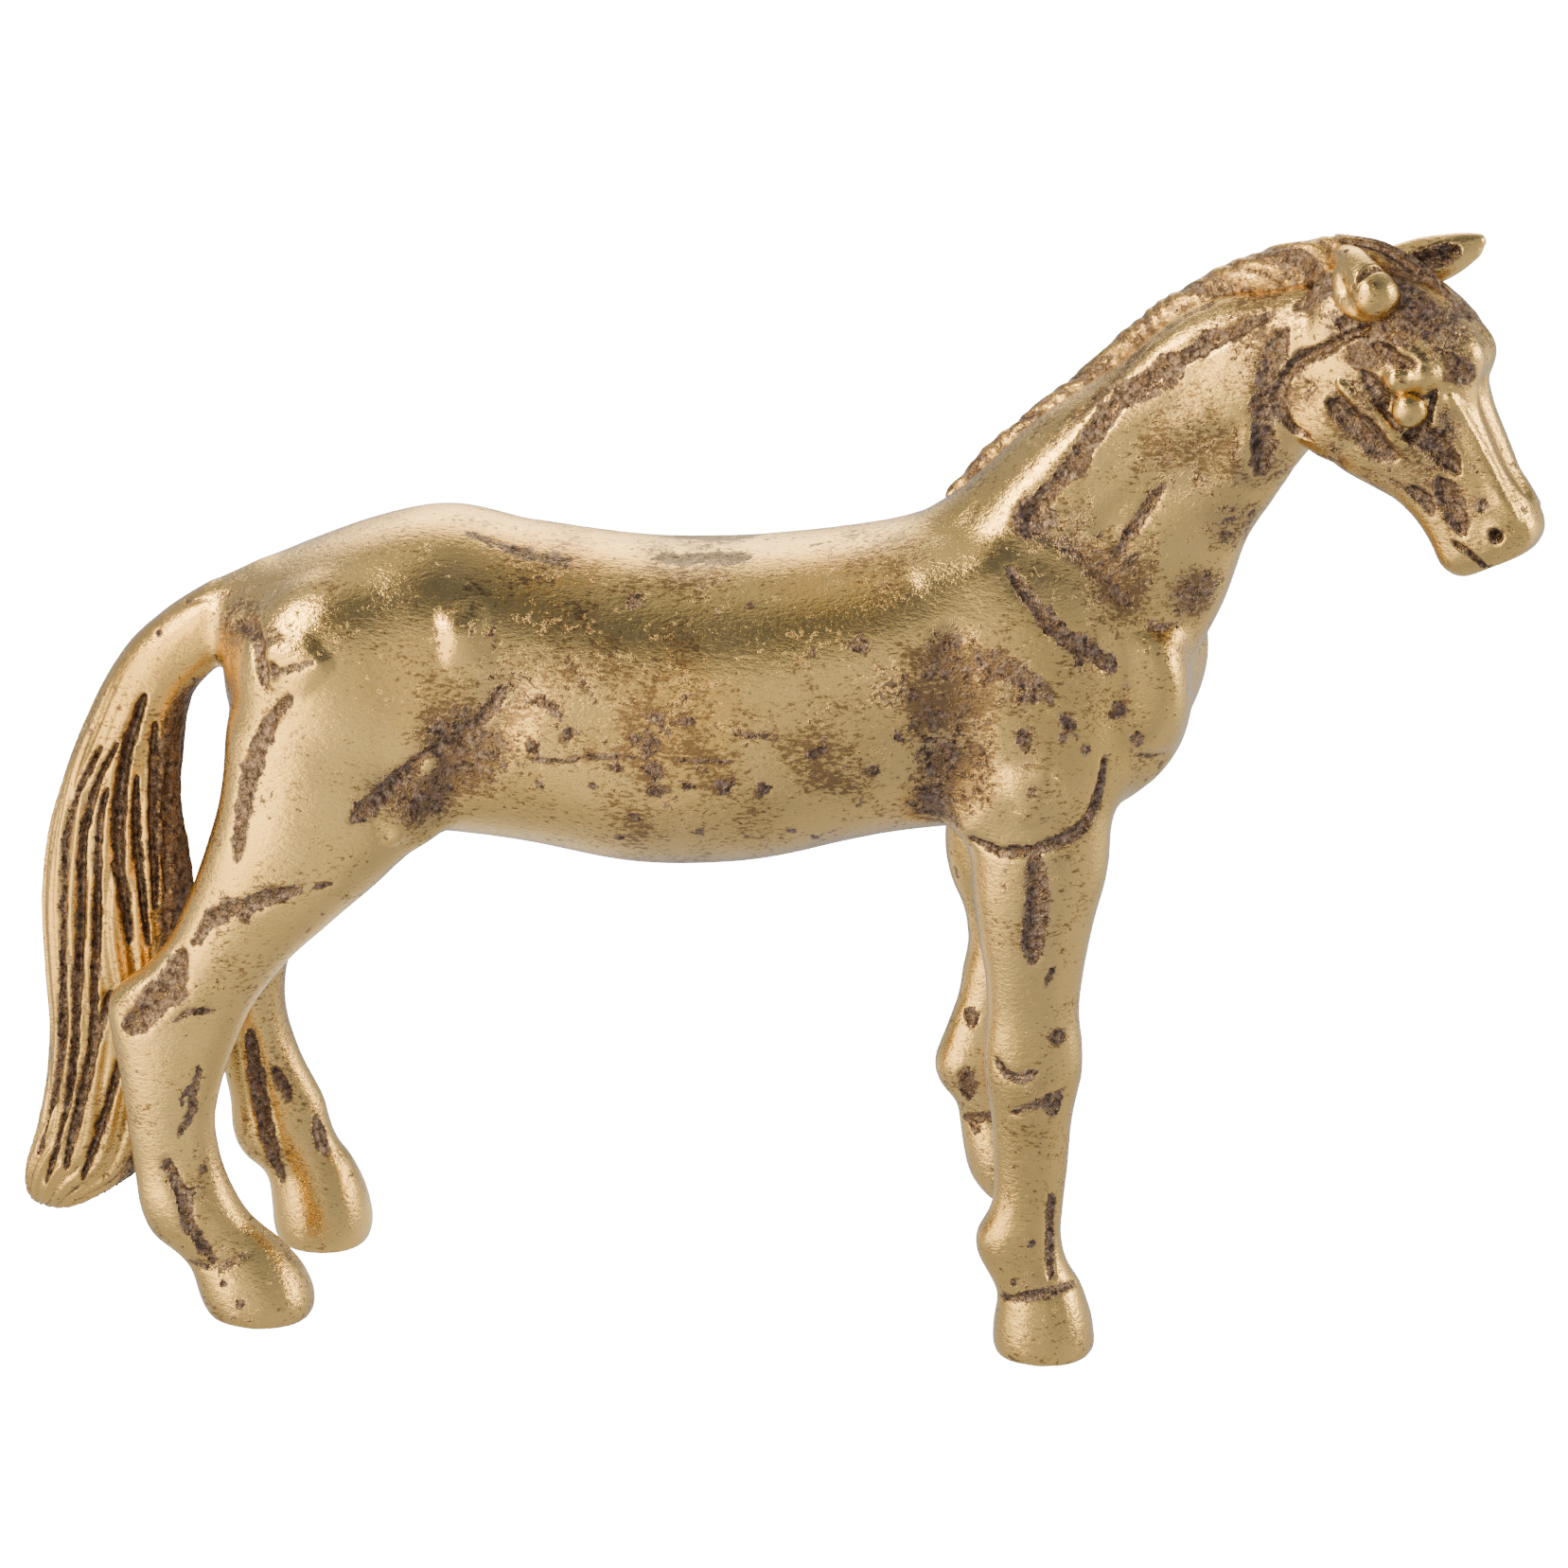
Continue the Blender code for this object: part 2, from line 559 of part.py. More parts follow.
def main():
    for old in list(bpy.data.objects):
        bpy.data.objects.remove(old)
    head = build_head()
    body = build_body()
    tail = build_tail()
    legs = [
        *build_leg("right_foreleg", RIGHT_FORELEG, "right_fore_hoof", RIGHT_FORE_HOOF),
        *build_leg("left_foreleg", LEFT_FORELEG, "left_fore_hoof", LEFT_FORE_HOOF),
        *build_leg("right_hindleg", RIGHT_HINDLEG, "right_hind_hoof", RIGHT_HIND_HOOF),
        *build_leg("left_hindleg", LEFT_HINDLEG, "left_hind_hoof", LEFT_HIND_HOOF),
    ]
    thin_out(head, HEAD_FACES)
    thin_out(body, BODY_FACES)
    head_cutter = grown(head, GAP)
    cut_away(body, [head_cutter])
    body_cutter = grown(body, GAP)
    eyes = [build_eye("right", -1), build_eye("left", 1)]
    cut_away(head, [grown(eye, GAP) for eye in eyes])
    ears = [build_ear("right"), build_ear("left")]
    for ear in ears:
        cut_away(ear, [head_cutter])
    mane = build_hair("mane", MANE, turned=False)
    forelock = build_hair("forelock", FORELOCK, turned=True)
    cut_away(forelock, [head_cutter, body_cutter, *(grown(ear, GAP) for ear in ears)])
    cut_away(mane, [head_cutter, body_cutter, grown(forelock, GAP), *(grown(ear, GAP) for ear in ears)])
    bright, dark = material("polished_brass", BRASS), material("antiqued_brass", DARK_BRASS)
    pieces = [body, head, *ears, *eyes, *legs]
    hair = [mane, forelock, tail]
    for piece in pieces:
        finish(piece, bright)
    for piece in hair:
        finish(piece, dark)
    centre_on_floor(pieces + hair)
    for obj in list(bpy.data.objects):
        if obj.hide_render:
            bpy.data.objects.remove(obj)


main()
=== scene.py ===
import math

import bmesh
import bpy
import numpy as np
from mathutils import Matrix, Vector
from mathutils.bvhtree import BVHTree


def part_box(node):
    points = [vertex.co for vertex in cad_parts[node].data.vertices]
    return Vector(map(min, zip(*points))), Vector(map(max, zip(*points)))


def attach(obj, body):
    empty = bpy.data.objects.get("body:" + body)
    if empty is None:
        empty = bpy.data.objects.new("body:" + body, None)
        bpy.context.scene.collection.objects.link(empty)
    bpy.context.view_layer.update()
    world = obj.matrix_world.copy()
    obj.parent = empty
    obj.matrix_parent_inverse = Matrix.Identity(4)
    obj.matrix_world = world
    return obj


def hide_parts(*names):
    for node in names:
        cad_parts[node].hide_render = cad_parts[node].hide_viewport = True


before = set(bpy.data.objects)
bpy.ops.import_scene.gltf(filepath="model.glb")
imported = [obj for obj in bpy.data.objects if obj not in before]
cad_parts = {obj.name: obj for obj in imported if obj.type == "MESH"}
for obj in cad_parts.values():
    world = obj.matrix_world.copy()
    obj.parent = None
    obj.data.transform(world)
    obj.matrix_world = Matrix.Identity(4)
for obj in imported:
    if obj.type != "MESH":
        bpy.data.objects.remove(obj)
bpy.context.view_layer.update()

# The horse is drawn in millimetres: x forward, y to its left, z up from the floor.
# A section is a point on the lower or rear outline, one on the upper or front outline,
# a half width and a middle y.

turn = {"pivot": (21.6, -1.5, 44.0), "yaw": -18, "neckFrom": 12.0}

trunk = [
    ((-23.8, 26.6), (-23.6, 31.4), 2.2, 0),
    ((-22.8, 24.6), (-22.6, 32.3), 3.9, 0),
    ((-20.5, 22.6), (-20.5, 33.3), 5.4, 0),
    ((-17.5, 21.7), (-17.5, 34.45), 6.3, 0),
    ((-14.5, 21.35), (-14.5, 35.1), 6.5, 0),
    ((-11.0, 21.1), (-11.0, 34.5), 6.4, 0),
    ((-6.0, 20.4), (-6.0, 33.95), 6.9, 0),
    ((-1.0, 20.7), (-1.0, 34.2), 7.0, 0),
    ((4.0, 22.0), (4.0, 35.0), 6.7, 0),
    ((8.0, 22.6), (8.0, 36.3), 6.1, 0),
    ((12.0, 23.0), (12.0, 36.4), 5.7, 0),
    ((15.0, 24.0), (15.0, 35.4), 4.8, 0),
    ((17.0, 26.7), (17.0, 33.5), 3.0, 0),
]
neck = [
    ((15.6, 26.5), (3.5, 34.4), 4.4, 0),
    ((17.4, 30.2), (7.0, 36.6), 4.3, 0),
    ((18.65, 32.8), (10.3, 39.8), 3.5, 0),
    ((19.5, 35.5), (13.2, 42.0), 3.0, 0),
    ((20.6, 37.3), (16.0, 44.4), 2.7, 0),
    ((21.5, 38.9), (18.9, 45.8), 2.5, 0),
    ((22.6, 40.3), (21.8, 46.6), 2.3, 0),
]
skull = [
    ((22.0, 43.6), (22.4, 47.2), 1.5, 0),
    ((21.3, 42.3), (24.2, 47.7), 2.1, 0),
    ((21.45, 41.3), (26.9, 47.2), 2.45, 0),
    ((22.25, 40.25), (28.95, 45.6), 2.5, 0),
    ((23.6, 39.15), (29.35, 43.9), 2.35, 0),
    ((25.0, 38.5), (29.5, 42.5), 2.0, 0),
    ((26.1, 38.0), (30.1, 41.2), 1.75, 0),
    ((26.9, 37.3), (30.8, 39.8), 1.6, 0),
    ((27.5, 36.5), (31.7, 38.6), 1.55, 0),
    ((28.05, 35.5), (32.15, 37.4), 1.5, 0),
    ((28.8, 35.1), (31.75, 36.5), 1.15, 0),
    ((29.5, 35.3), (30.9, 36.1), 0.6, 0),
]
tailSections = [
    ((-21.2, 29.2), (-22.0, 32.9), 1.7, 0),
    ((-23.2, 28.5), (-24.5, 31.6), 1.7, 0),
    ((-24.6, 27.5), (-26.3, 30.4), 1.75, 0.1),
    ((-25.5, 26.4), (-28.1, 28.8), 1.8, 0.2),
    ((-25.85, 25.1), (-29.4, 26.85), 1.85, 0.3),
    ((-26.05, 23.6), (-30.45, 24.6), 1.95, 0.3),
    ((-26.15, 21.5), (-31.25, 22.4), 2.0, 0.3),
    ((-25.95, 19.6), (-31.95, 20.1), 2.1, 0.3),
    ((-25.7, 17.0), (-32.35, 17.0), 2.1, 0.3),
    ((-25.9, 13.7), (-32.3, 13.7), 2.1, 0.3),
    ((-26.2, 10.5), (-32.2, 11.0), 2.0, 0.3),
    ((-26.8, 7.8), (-32.4, 8.6), 1.9, 0.2),
    ((-27.8, 5.3), (-32.9, 6.4), 1.7, 0.1),
    ((-29.4, 3.9), (-33.4, 4.8), 1.4, 0),
    ((-31.1, 2.9), (-33.5, 3.7), 1.0, 0),
    ((-32.2, 2.7), (-33.2, 3.0), 0.45, 0),
]
legs = {
    "rightHind": [
        ((-23.2, 27.0), (-13.5, 26.5), 3.0, -3.6),
        ((-23.5, 23.4), (-14.2, 22.6), 2.9, -3.9),
        ((-24.2, 20.9), (-16.2, 20.3), 2.6, -4.1),
        ((-24.9, 18.9), (-18.6, 18.1), 2.25, -4.1),
        ((-25.7, 17.1), (-20.5, 16.3), 1.95, -4.1),
        ((-26.8, 15.7), (-21.7, 14.8), 1.75, -4.1),
        ((-28.0, 14.8), (-22.4, 13.7), 1.65, -4.1),
        ((-28.6, 13.9), (-22.9, 12.5), 1.65, -4.1),
        ((-28.4, 12.4), (-23.3, 11.5), 1.6, -4.1),
        ((-28.1, 10.6), (-23.7, 10.3), 1.45, -4.2),
        ((-27.85, 8.4), (-24.0, 8.6), 1.3, -4.2),
        ((-27.6, 6.4), (-23.7, 6.7), 1.3, -4.2),
        ((-27.4, 4.9), (-23.0, 5.1), 1.5, -4.3),
        ((-26.9, 3.6), (-22.4, 4.3), 1.5, -4.3),
        ((-25.9, 2.8), (-21.8, 3.8), 1.45, -4.3),
        ((-25.2, 2.1), (-21.3, 3.4), 1.6, -4.3),
        ((-24.9, 1.1), (-20.3, 2.2), 2.0, -4.3),
        ((-24.6, 0.4), (-19.8, 0.9), 2.25, -4.3),
        ((-24.3, 0.0), (-19.9, 0.0), 2.2, -4.3),
    ],
    "leftHind": [
        ((-23.0, 27.0), (-13.5, 26.5), 3.0, 3.6),
        ((-23.1, 23.4), (-13.8, 22.6), 2.9, 3.9),
        ((-23.4, 20.9), (-15.5, 20.2), 2.6, 4.1),
        ((-23.9, 18.9), (-18.3, 18.1), 2.25, 4.2),
        ((-24.4, 17.1), (-20.2, 16.4), 1.95, 4.3),
        ((-25.3, 15.7), (-21.5, 14.9), 1.75, 4.3),
        ((-26.3, 14.8), (-22.2, 13.8), 1.65, 4.4),
        ((-26.8, 13.9), (-22.6, 12.6), 1.65, 4.4),
        ((-26.4, 12.2), (-22.7, 11.2), 1.6, 4.4),
        ((-26.0, 10.3), (-22.5, 9.9), 1.45, 4.5),
        ((-25.6, 8.2), (-21.9, 8.3), 1.3, 4.5),
        ((-25.3, 6.4), (-21.1, 6.7), 1.3, 4.6),
        ((-25.2, 4.9), (-20.8, 5.5), 1.5, 4.6),
        ((-24.7, 3.9), (-20.5, 4.7), 1.5, 4.6),
        ((-23.9, 3.3), (-20.2, 4.3), 1.45, 4.6),
        ((-23.6, 2.6), (-19.9, 3.9), 1.6, 4.6),
        ((-23.5, 1.5), (-19.3, 2.5), 2.0, 4.6),
        ((-23.4, 0.5), (-19.0, 1.0), 2.2, 4.6),
        ((-23.1, 0.0), (-19.2, 0.0), 2.15, 4.6),
    ],
    "rightFore": [
        ((8.2, 26.6), (14.4, 27.0), 2.5, -3.5),
        ((8.3, 23.4), (14.3, 24.0), 2.4, -3.7),
        ((8.4, 21.0), (14.2, 21.6), 2.25, -3.8),
        ((8.7, 18.8), (13.6, 19.3), 2.0, -3.8),
        ((9.05, 16.8), (13.2, 17.1), 1.75, -3.8),
        ((9.1, 15.2), (13.05, 15.4), 1.6, -3.8),
        ((9.0, 13.6), (13.2, 13.9), 1.65, -3.8),
        ((9.05, 12.3), (13.2, 12.6), 1.65, -3.8),
        ((9.3, 11.0), (12.85, 10.8), 1.45, -3.8),
        ((9.45, 9.2), (12.7, 9.0), 1.3, -3.8),
        ((9.5, 7.5), (12.55, 7.4), 1.25, -3.8),
        ((9.3, 6.4), (12.45, 6.4), 1.35, -3.8),
        ((8.7, 5.3), (12.4, 5.5), 1.5, -3.8),
        ((8.8, 4.4), (12.5, 4.6), 1.5, -3.8),
        ((9.35, 3.4), (12.8, 3.8), 1.5, -3.8),
        ((9.7, 2.6), (13.2, 3.2), 1.65, -3.8),
        ((9.5, 1.4), (13.7, 1.8), 2.0, -3.8),
        ((9.5, 0.4), (13.9, 0.5), 2.2, -3.8),
        ((9.6, 0.0), (13.8, 0.0), 2.15, -3.8),
    ],
    "leftFore": [
        ((7.2, 26.0), (14.2, 27.0), 2.5, 3.5),
        ((6.95, 23.4), (13.9, 24.4), 2.4, 3.7),
        ((6.35, 21.0), (13.3, 22.2), 2.2, 3.9),
        ((6.55, 18.8), (12.8, 20.2), 2.0, 4.1),
        ((7.2, 17.0), (12.5, 18.3), 1.75, 4.3),
        ((7.4, 15.6), (12.4, 16.5), 1.7, 4.3),
        ((7.2, 14.5), (11.9, 14.8), 1.6, 4.2),
        ((7.0, 13.2), (10.7, 13.2), 1.35, 4.0),
        ((6.5, 11.7), (9.9, 11.7), 1.3, 3.8),
        ((6.0, 10.2), (9.7, 10.5), 1.5, 3.7),
        ((6.3, 9.2), (9.9, 9.6), 1.45, 3.7),
        ((7.0, 8.4), (10.2, 8.9), 1.4, 3.7),
        ((7.15, 7.6), (10.5, 8.1), 1.55, 3.7),
        ((7.3, 6.6), (11.0, 7.0), 1.9, 3.7),
        ((7.6, 5.3), (11.5, 5.4), 2.1, 3.7),
        ((8.2, 4.5), (11.6, 4.3), 2.1, 3.7),
        ((8.6, 4.2), (11.3, 4.0), 1.9, 3.7),
    ],
}

# Rounded muscles: middle, half sizes and lean in the side view, drawn for the left side and mirrored.
muscles = [
    ((10.6, 3.6, 29.0), (4.4, 2.6, 6.6), -18),    # shoulder
    ((10.6, 4.3, 25.6), (3.9, 1.9, 3.0), -25),    # upper arm
    ((15.0, 2.1, 28.0), (2.35, 1.9, 3.8), 18),    # breast
    ((-17.6, 3.5, 28.2), (5.3, 3.3, 5.1), 20),    # haunch
    ((-15.2, 4.6, 23.8), (2.0, 1.5, 2.6), 25),    # stifle
]
faceMasses = [
    ((23.8, 1.3, 41.8), (2.3, 1.25, 2.3), 0),     # cheek
    ((27.3, 1.65, 43.4), (1.2, 0.85, 0.8), 50),   # brow over the eye
    ((30.7, 0.9, 37.3), (0.9, 0.75, 1.0), 0),     # nostril wing
]


def alongRows(rows, t):  # a point at t rows from the start, on a soft curve through all the rows
    i = np.clip(t.astype(int), 0, len(rows) - 2)
    f = (t - i)[:, None]
    before, a, b, after = (rows[np.clip(i + k, 0, len(rows) - 1)] for k in (-1, 0, 1, 2))
    bend = (2 * before - 5 * a + 4 * b - after) + f * (3 * (a - b) + after - before)
    curve = a + 0.5 * f * ((b - before) + f * bend)
    return 0.85 * curve + 0.15 * (a + (b - a) * f)


def softPath(points, step):  # the marked points joined by a soft curve, with a point at each step
    rows = np.array(points, float)
    if len(rows) == 1:
        return rows
    length = np.linalg.norm(np.diff(rows, axis=0), axis=1).sum()
    count = max(3, int(length / step) + 1)
    t = np.linspace(0, len(rows) - 1, count)
    return alongRows(rows, t) if len(rows) > 2 else rows[0] + (rows[1] - rows[0]) * t[:, None]


def turnHead(points):  # from the straight profile to where the turned head has it
    yaw = math.radians(turn["yaw"])
    p = np.array(points, float) - (turn["pivot"][0], 0, turn["pivot"][2])
    x = p[:, 0] * math.cos(yaw) - p[:, 1] * math.sin(yaw)
    y = p[:, 0] * math.sin(yaw) + p[:, 1] * math.cos(yaw)
    return np.stack((x, y, p[:, 2]), 1) + turn["pivot"]


def neckShift(x):  # how far the neck is bent sideways at x
    reach = turn["pivot"][0] - turn["neckFrom"]
    share = np.clip((np.asarray(x, float) - turn["neckFrom"]) / reach, 0, 1) ** 2
    return 0.5 * reach * share * math.tan(math.radians(turn["yaw"]))


def bendNeck(points):
    p = np.array(points, float)
    p[:, 1] += neckShift(p[:, 0])
    return p


def loft(bm, sections, sides=96, steps=9, square=2.2, place=None):
    rows = np.array([(*low, *high, half, middle) for low, high, half, middle in sections])
    t = np.linspace(0, len(rows) - 1, steps * (len(rows) - 1) + 1)
    angle = np.linspace(0, math.tau, sides, endpoint=False)
    c, s = np.cos(angle), np.sin(angle)
    up = np.sign(c) * np.abs(c) ** (2 / square)
    side = np.sign(s) * np.abs(s) ** (2 / square)
    rings = []
    for lx, lz, hx, hz, half, middle in alongRows(rows, t):
        ring = np.stack(((lx + hx) / 2 + (hx - lx) / 2 * up, middle + half * side,
                         (lz + hz) / 2 + (hz - lz) / 2 * up), 1)
        ring = place(ring) if place else ring
        rings.append([bm.verts.new(p) for p in ring])
    for one, two in zip(rings, rings[1:]):
        for k in range(sides):
            bm.faces.new((one[k], one[k - 1], two[k - 1], two[k]))
    bm.faces.new(rings[0])
    bm.faces.new(rings[-1][::-1])


def addMass(bm, middle, sizes, lean, place=None):
    stand = Matrix.Translation(middle) @ Matrix.Rotation(math.radians(lean), 4, "Y")
    shape = stand @ Matrix.Diagonal((*sizes, 1))
    made = bmesh.ops.create_icosphere(bm, subdivisions=5, radius=1, matrix=shape)
    if place:
        verts = made["verts"]
        for v, p in zip(verts, place([v.co for v in verts])):
            v.co = p


def bothSides(bm, masses, place=None):
    for (x, y, z), sizes, lean in masses:
        addMass(bm, (x, y, z), sizes, lean, place)
        addMass(bm, (x, -y, z), sizes, lean, place)


def blockOf(bm, name):
    bmesh.ops.recalc_face_normals(bm, faces=bm.faces[:])
    mesh = bpy.data.meshes.new(name)
    bm.to_mesh(mesh)
    bm.free()
    block = bpy.data.objects.new(name, mesh)
    bpy.context.collection.objects.link(block)
    return block


def pickNothing():
    bpy.ops.object.select_all(action="DESELECT")


def pickOnly(obj):
    pickNothing()
    obj.select_set(True)
    bpy.context.view_layer.objects.active = obj


def melt(obj, grain):  # joins overlapping skins into one even skin
    pickOnly(obj)
    remesh = obj.modifiers.new("melt", "REMESH")
    remesh.mode = "VOXEL"
    remesh.voxel_size = grain
    bpy.ops.object.modifier_apply(modifier=remesh.name)


def clayFrom(obj):  # the mesh as arrays that the sculpting works on
    mesh = obj.data
    count = len(mesh.vertices)
    co = np.empty(count * 3, np.float32)
    mesh.vertices.foreach_get("co", co)
    edges = np.empty(len(mesh.edges) * 2, np.int32)
    mesh.edges.foreach_get("vertices", edges)
    clay = {"obj": obj, "co": co.reshape(-1, 3).astype(float), "edges": edges.reshape(-1, 2)}
    for name in ("patina", "pitting", "warmth"):
        clay[name] = np.zeros(count)
    settle(clay)
    return clay


def settle(clay):  # puts the points back in the mesh and looks up the new normals
    mesh = clay["obj"].data
    mesh.vertices.foreach_set("co", clay["co"].astype(np.float32).ravel())
    mesh.update()
    normal = np.empty(len(clay["co"]) * 3, np.float32)
    mesh.vertices.foreach_get("normal", normal)
    clay["no"] = normal.reshape(-1, 3).astype(float)
    faces = [tuple(p.vertices) for p in mesh.polygons]
    clay["tree"] = BVHTree.FromPolygons([tuple(p) for p in clay["co"]], faces)


def relax(co, edges, weight, rounds):  # evens the surface, as a finger rubs wet clay
    a, b = edges[:, 0], edges[:, 1]
    count = len(co)
    links = np.maximum(np.bincount(a, minlength=count) + np.bincount(b, minlength=count), 1)
    co = co.copy()
    for _ in range(rounds):
        mean = np.stack([
            np.bincount(a, co[b, k], count) + np.bincount(b, co[a, k], count) for k in range(3)
        ], 1) / links[:, None]
        co += (mean - co) * (0.5 * weight)[:, None]
    return co


def lumps(co, size, seed=0):  # smooth noise from -1 to 1, in lumps of this size
    p = co / size + seed * 17.37
    cell = np.floor(p).astype(np.int64)
    f = p - cell
    f = f * f * (3 - 2 * f)
    total = np.zeros(len(co))
    for corner in range(8):
        bit = np.array([corner & 1, corner >> 1 & 1, corner >> 2 & 1])
        x, y, z = (cell + bit).T
        mixed = (x * 73856093 ^ y * 19349663 ^ z * 83492791 ^ (seed + 1) * 2654435) & 0x7FFFFFFF
        mixed = (mixed * 1103515245 + 12345) & 0x7FFFFFFF
        mixed = (mixed >> 7) & 0xFFFF
        weight = np.prod(np.where(bit == 1, f, 1 - f), axis=1)
        total += weight * (mixed / 32767.5 - 1)
    return total


def smoothStep(value, low, high):
    t = np.clip((value - low) / (high - low), 0, 1)
    return t * t * (3 - 2 * t)


# Presses a groove along the points, or raises a ridge where deep is negative, and darkens it.
# ends is how wide it starts, ragged how uneven its sides are, and fade lowers it towards its ends.
def press(clay, points, wide, deep, dark=0, ends=0.3, ragged=0.25, pits=0, fade=False):
    path = softPath(points, max(wide * 0.4, 0.12))
    hits = [clay["tree"].find_nearest(Vector(p)) for p in path]
    path = np.array([h[0] for h in hits])
    co, no = clay["co"], clay["no"]
    pad = wide * 1.8
    near = np.flatnonzero(np.all((co > path.min(0) - pad) & (co < path.max(0) + pad), axis=1))
    if not len(near):
        return
    p = co[near]
    if len(path) == 1:
        distance = np.linalg.norm(p - path[0], axis=1)
        share = np.full(len(near), 0.5)
        nearest = np.zeros(len(near), int)
    else:
        a, run = path[:-1], np.diff(path, axis=0)
        best = np.full(len(near), 1e9)
        share = np.zeros(len(near))
        nearest = np.zeros(len(near), int)
        for k in range(len(a)):
            t = np.clip((p - a[k]) @ run[k] / max(run[k] @ run[k], 1e-9), 0, 1)
            d = np.linalg.norm(p - a[k] - t[:, None] * run[k], axis=1)
            closer = d < best
            best[closer] = d[closer]
            share[closer] = (k + t[closer]) / len(a)
            nearest[closer] = k
        distance = best
    if ragged:
        distance = distance * (1 + ragged * lumps(p, wide * 1.3, 3) + 0.5 * ragged * lumps(p, wide * 0.5, 5))
    reach = wide * (ends + (1 - ends) * np.sqrt(np.sin(math.pi * np.clip(share, 0.001, 0.999))))
    weight = np.clip(1 - (distance / reach) ** 2, 0, 1) ** 2
    soft = smoothStep(1.3 - distance / reach, 0, 0.8)
    if fade:
        weight = weight * np.sin(math.pi * np.clip(share, 0, 1)) ** 0.7
    pathNormal = np.array([h[1] for h in hits])[nearest]
    facing = smoothStep(np.einsum("ij,ij->i", no[near], pathNormal), -0.1, 0.4)
    weight = weight * facing
    soft = soft * facing
    co[near] -= no[near] * (deep * weight)[:, None]
    clay["patina"][near] = np.maximum(clay["patina"][near], dark * soft)
    clay["pitting"][near] = np.maximum(clay["pitting"][near], pits * soft)


def mirrored(points):  # the same marks on the other side of the straight horse
    p = np.array(points, float)
    p[:, 1] = 2 * neckShift(p[:, 0]) - p[:, 1]
    return p


def pressAll(clay, marks, sides=("near",), head=False):
    for points, wide, deep, dark, *more in marks:
        for side in sides:
            path = np.array(points, float)
            if side == "far":
                path = path * (1, -1, 1) if head else mirrored(path)
            path = turnHead(path) if head else path
            press(clay, path, wide, deep, dark, **(more[0] if more else {}))


def hollows(clay, rounds):  # positive where the surface lies below its surroundings
    soft = relax(clay["co"], clay["edges"], np.ones(len(clay["co"])), rounds)
    return np.einsum("ij,ij->i", soft - clay["co"], clay["no"])


def keepMarks(clay):  # stores the patina, pitting and warmth on the mesh, and the sculpted normals
    mesh = clay["obj"].data
    for name in ("patina", "pitting", "warmth"):
        layer = mesh.attributes.new(name, "FLOAT", "POINT")
        layer.data.foreach_set("value", clay[name].astype(np.float32))
    layer = mesh.attributes.new("castNormal", "FLOAT_VECTOR", "POINT")
    layer.data.foreach_set("vector", clay["no"].astype(np.float32).ravel())


# Marks: points, width, depth (negative raises a ridge), darkness, and how press treats it otherwise
swell = {"ragged": 0, "ends": 1, "fade": True}
bodyForms = [
    ([(-14.4, -6.3, 24.0), (-12.6, -6.4, 26.6), (-10.6, -6.4, 29.0)], 2.6, 0.3, 0.2, {"ends": 0.7}),  # flank
    ([(7.7, -6.0, 31.8), (7.7, -6.0, 28.0), (7.0, -5.0, 24.2)], 2.2, 0.34, 0.4, {"ends": 0.6}),  # girth
    ([(-13.9, -6.2, 26.2), (-14.6, -6.1, 24.4), (-15.6, -6.0, 22.4)], 1.2, -0.3, 0),  # fold to the stifle
    ([(14.7, -4.7, 32.6), (14.6, -4.7, 29.4), (14.0, -4.8, 26.4)], 1.5, 0.22, 0.1,
     {"ragged": 0, "fade": True}),                                              # before the shoulder
    ([(16.3, -3.9, 32.2), (16.4, -3.9, 29.5), (15.9, -3.9, 26.8)], 1.8, -0.9, 0, swell),  # breast
    ([(-13.6, -6.1, 31.2), (-11.4, -6.2, 31.8)], 1.8, -0.45, 0, swell),  # hip bone
    ([(11.6, -5.6, 26.6), (11.0, -5.8, 24.9)], 2.0, -0.3, 0),                   # upper arm
    ([(6.2, -4.6, 33.8), (9.0, -3.9, 35.4), (10.6, -3.0, 37.5), (13.3, -2.4, 40.4), (16.7, -1.7, 44.3),
      (19.6, -1.5, 46.2)], 2.1, -0.34, 0, swell),                               # crest of the neck
    ([(10.9, -2.2, 38.0), (13.3, -1.6, 41.0), (16.2, -1.2, 44.2), (19.0, -1.0, 46.2)], 0.4, 0.12, 0.5,
     {"ragged": 0.5}),                                                          # foot of the mane
    ([(13.6, -3.9, 36.2), (16.4, -3.6, 38.4), (19.0, -3.4, 40.6)], 1.8, 0.18, 0),  # side of the neck
    ([(-20.8, -5.8, 30.4), (-19.8, -6.1, 29.9), (-18.4, -6.4, 30.0)], 1.5, -0.3, 0),  # hip point
]
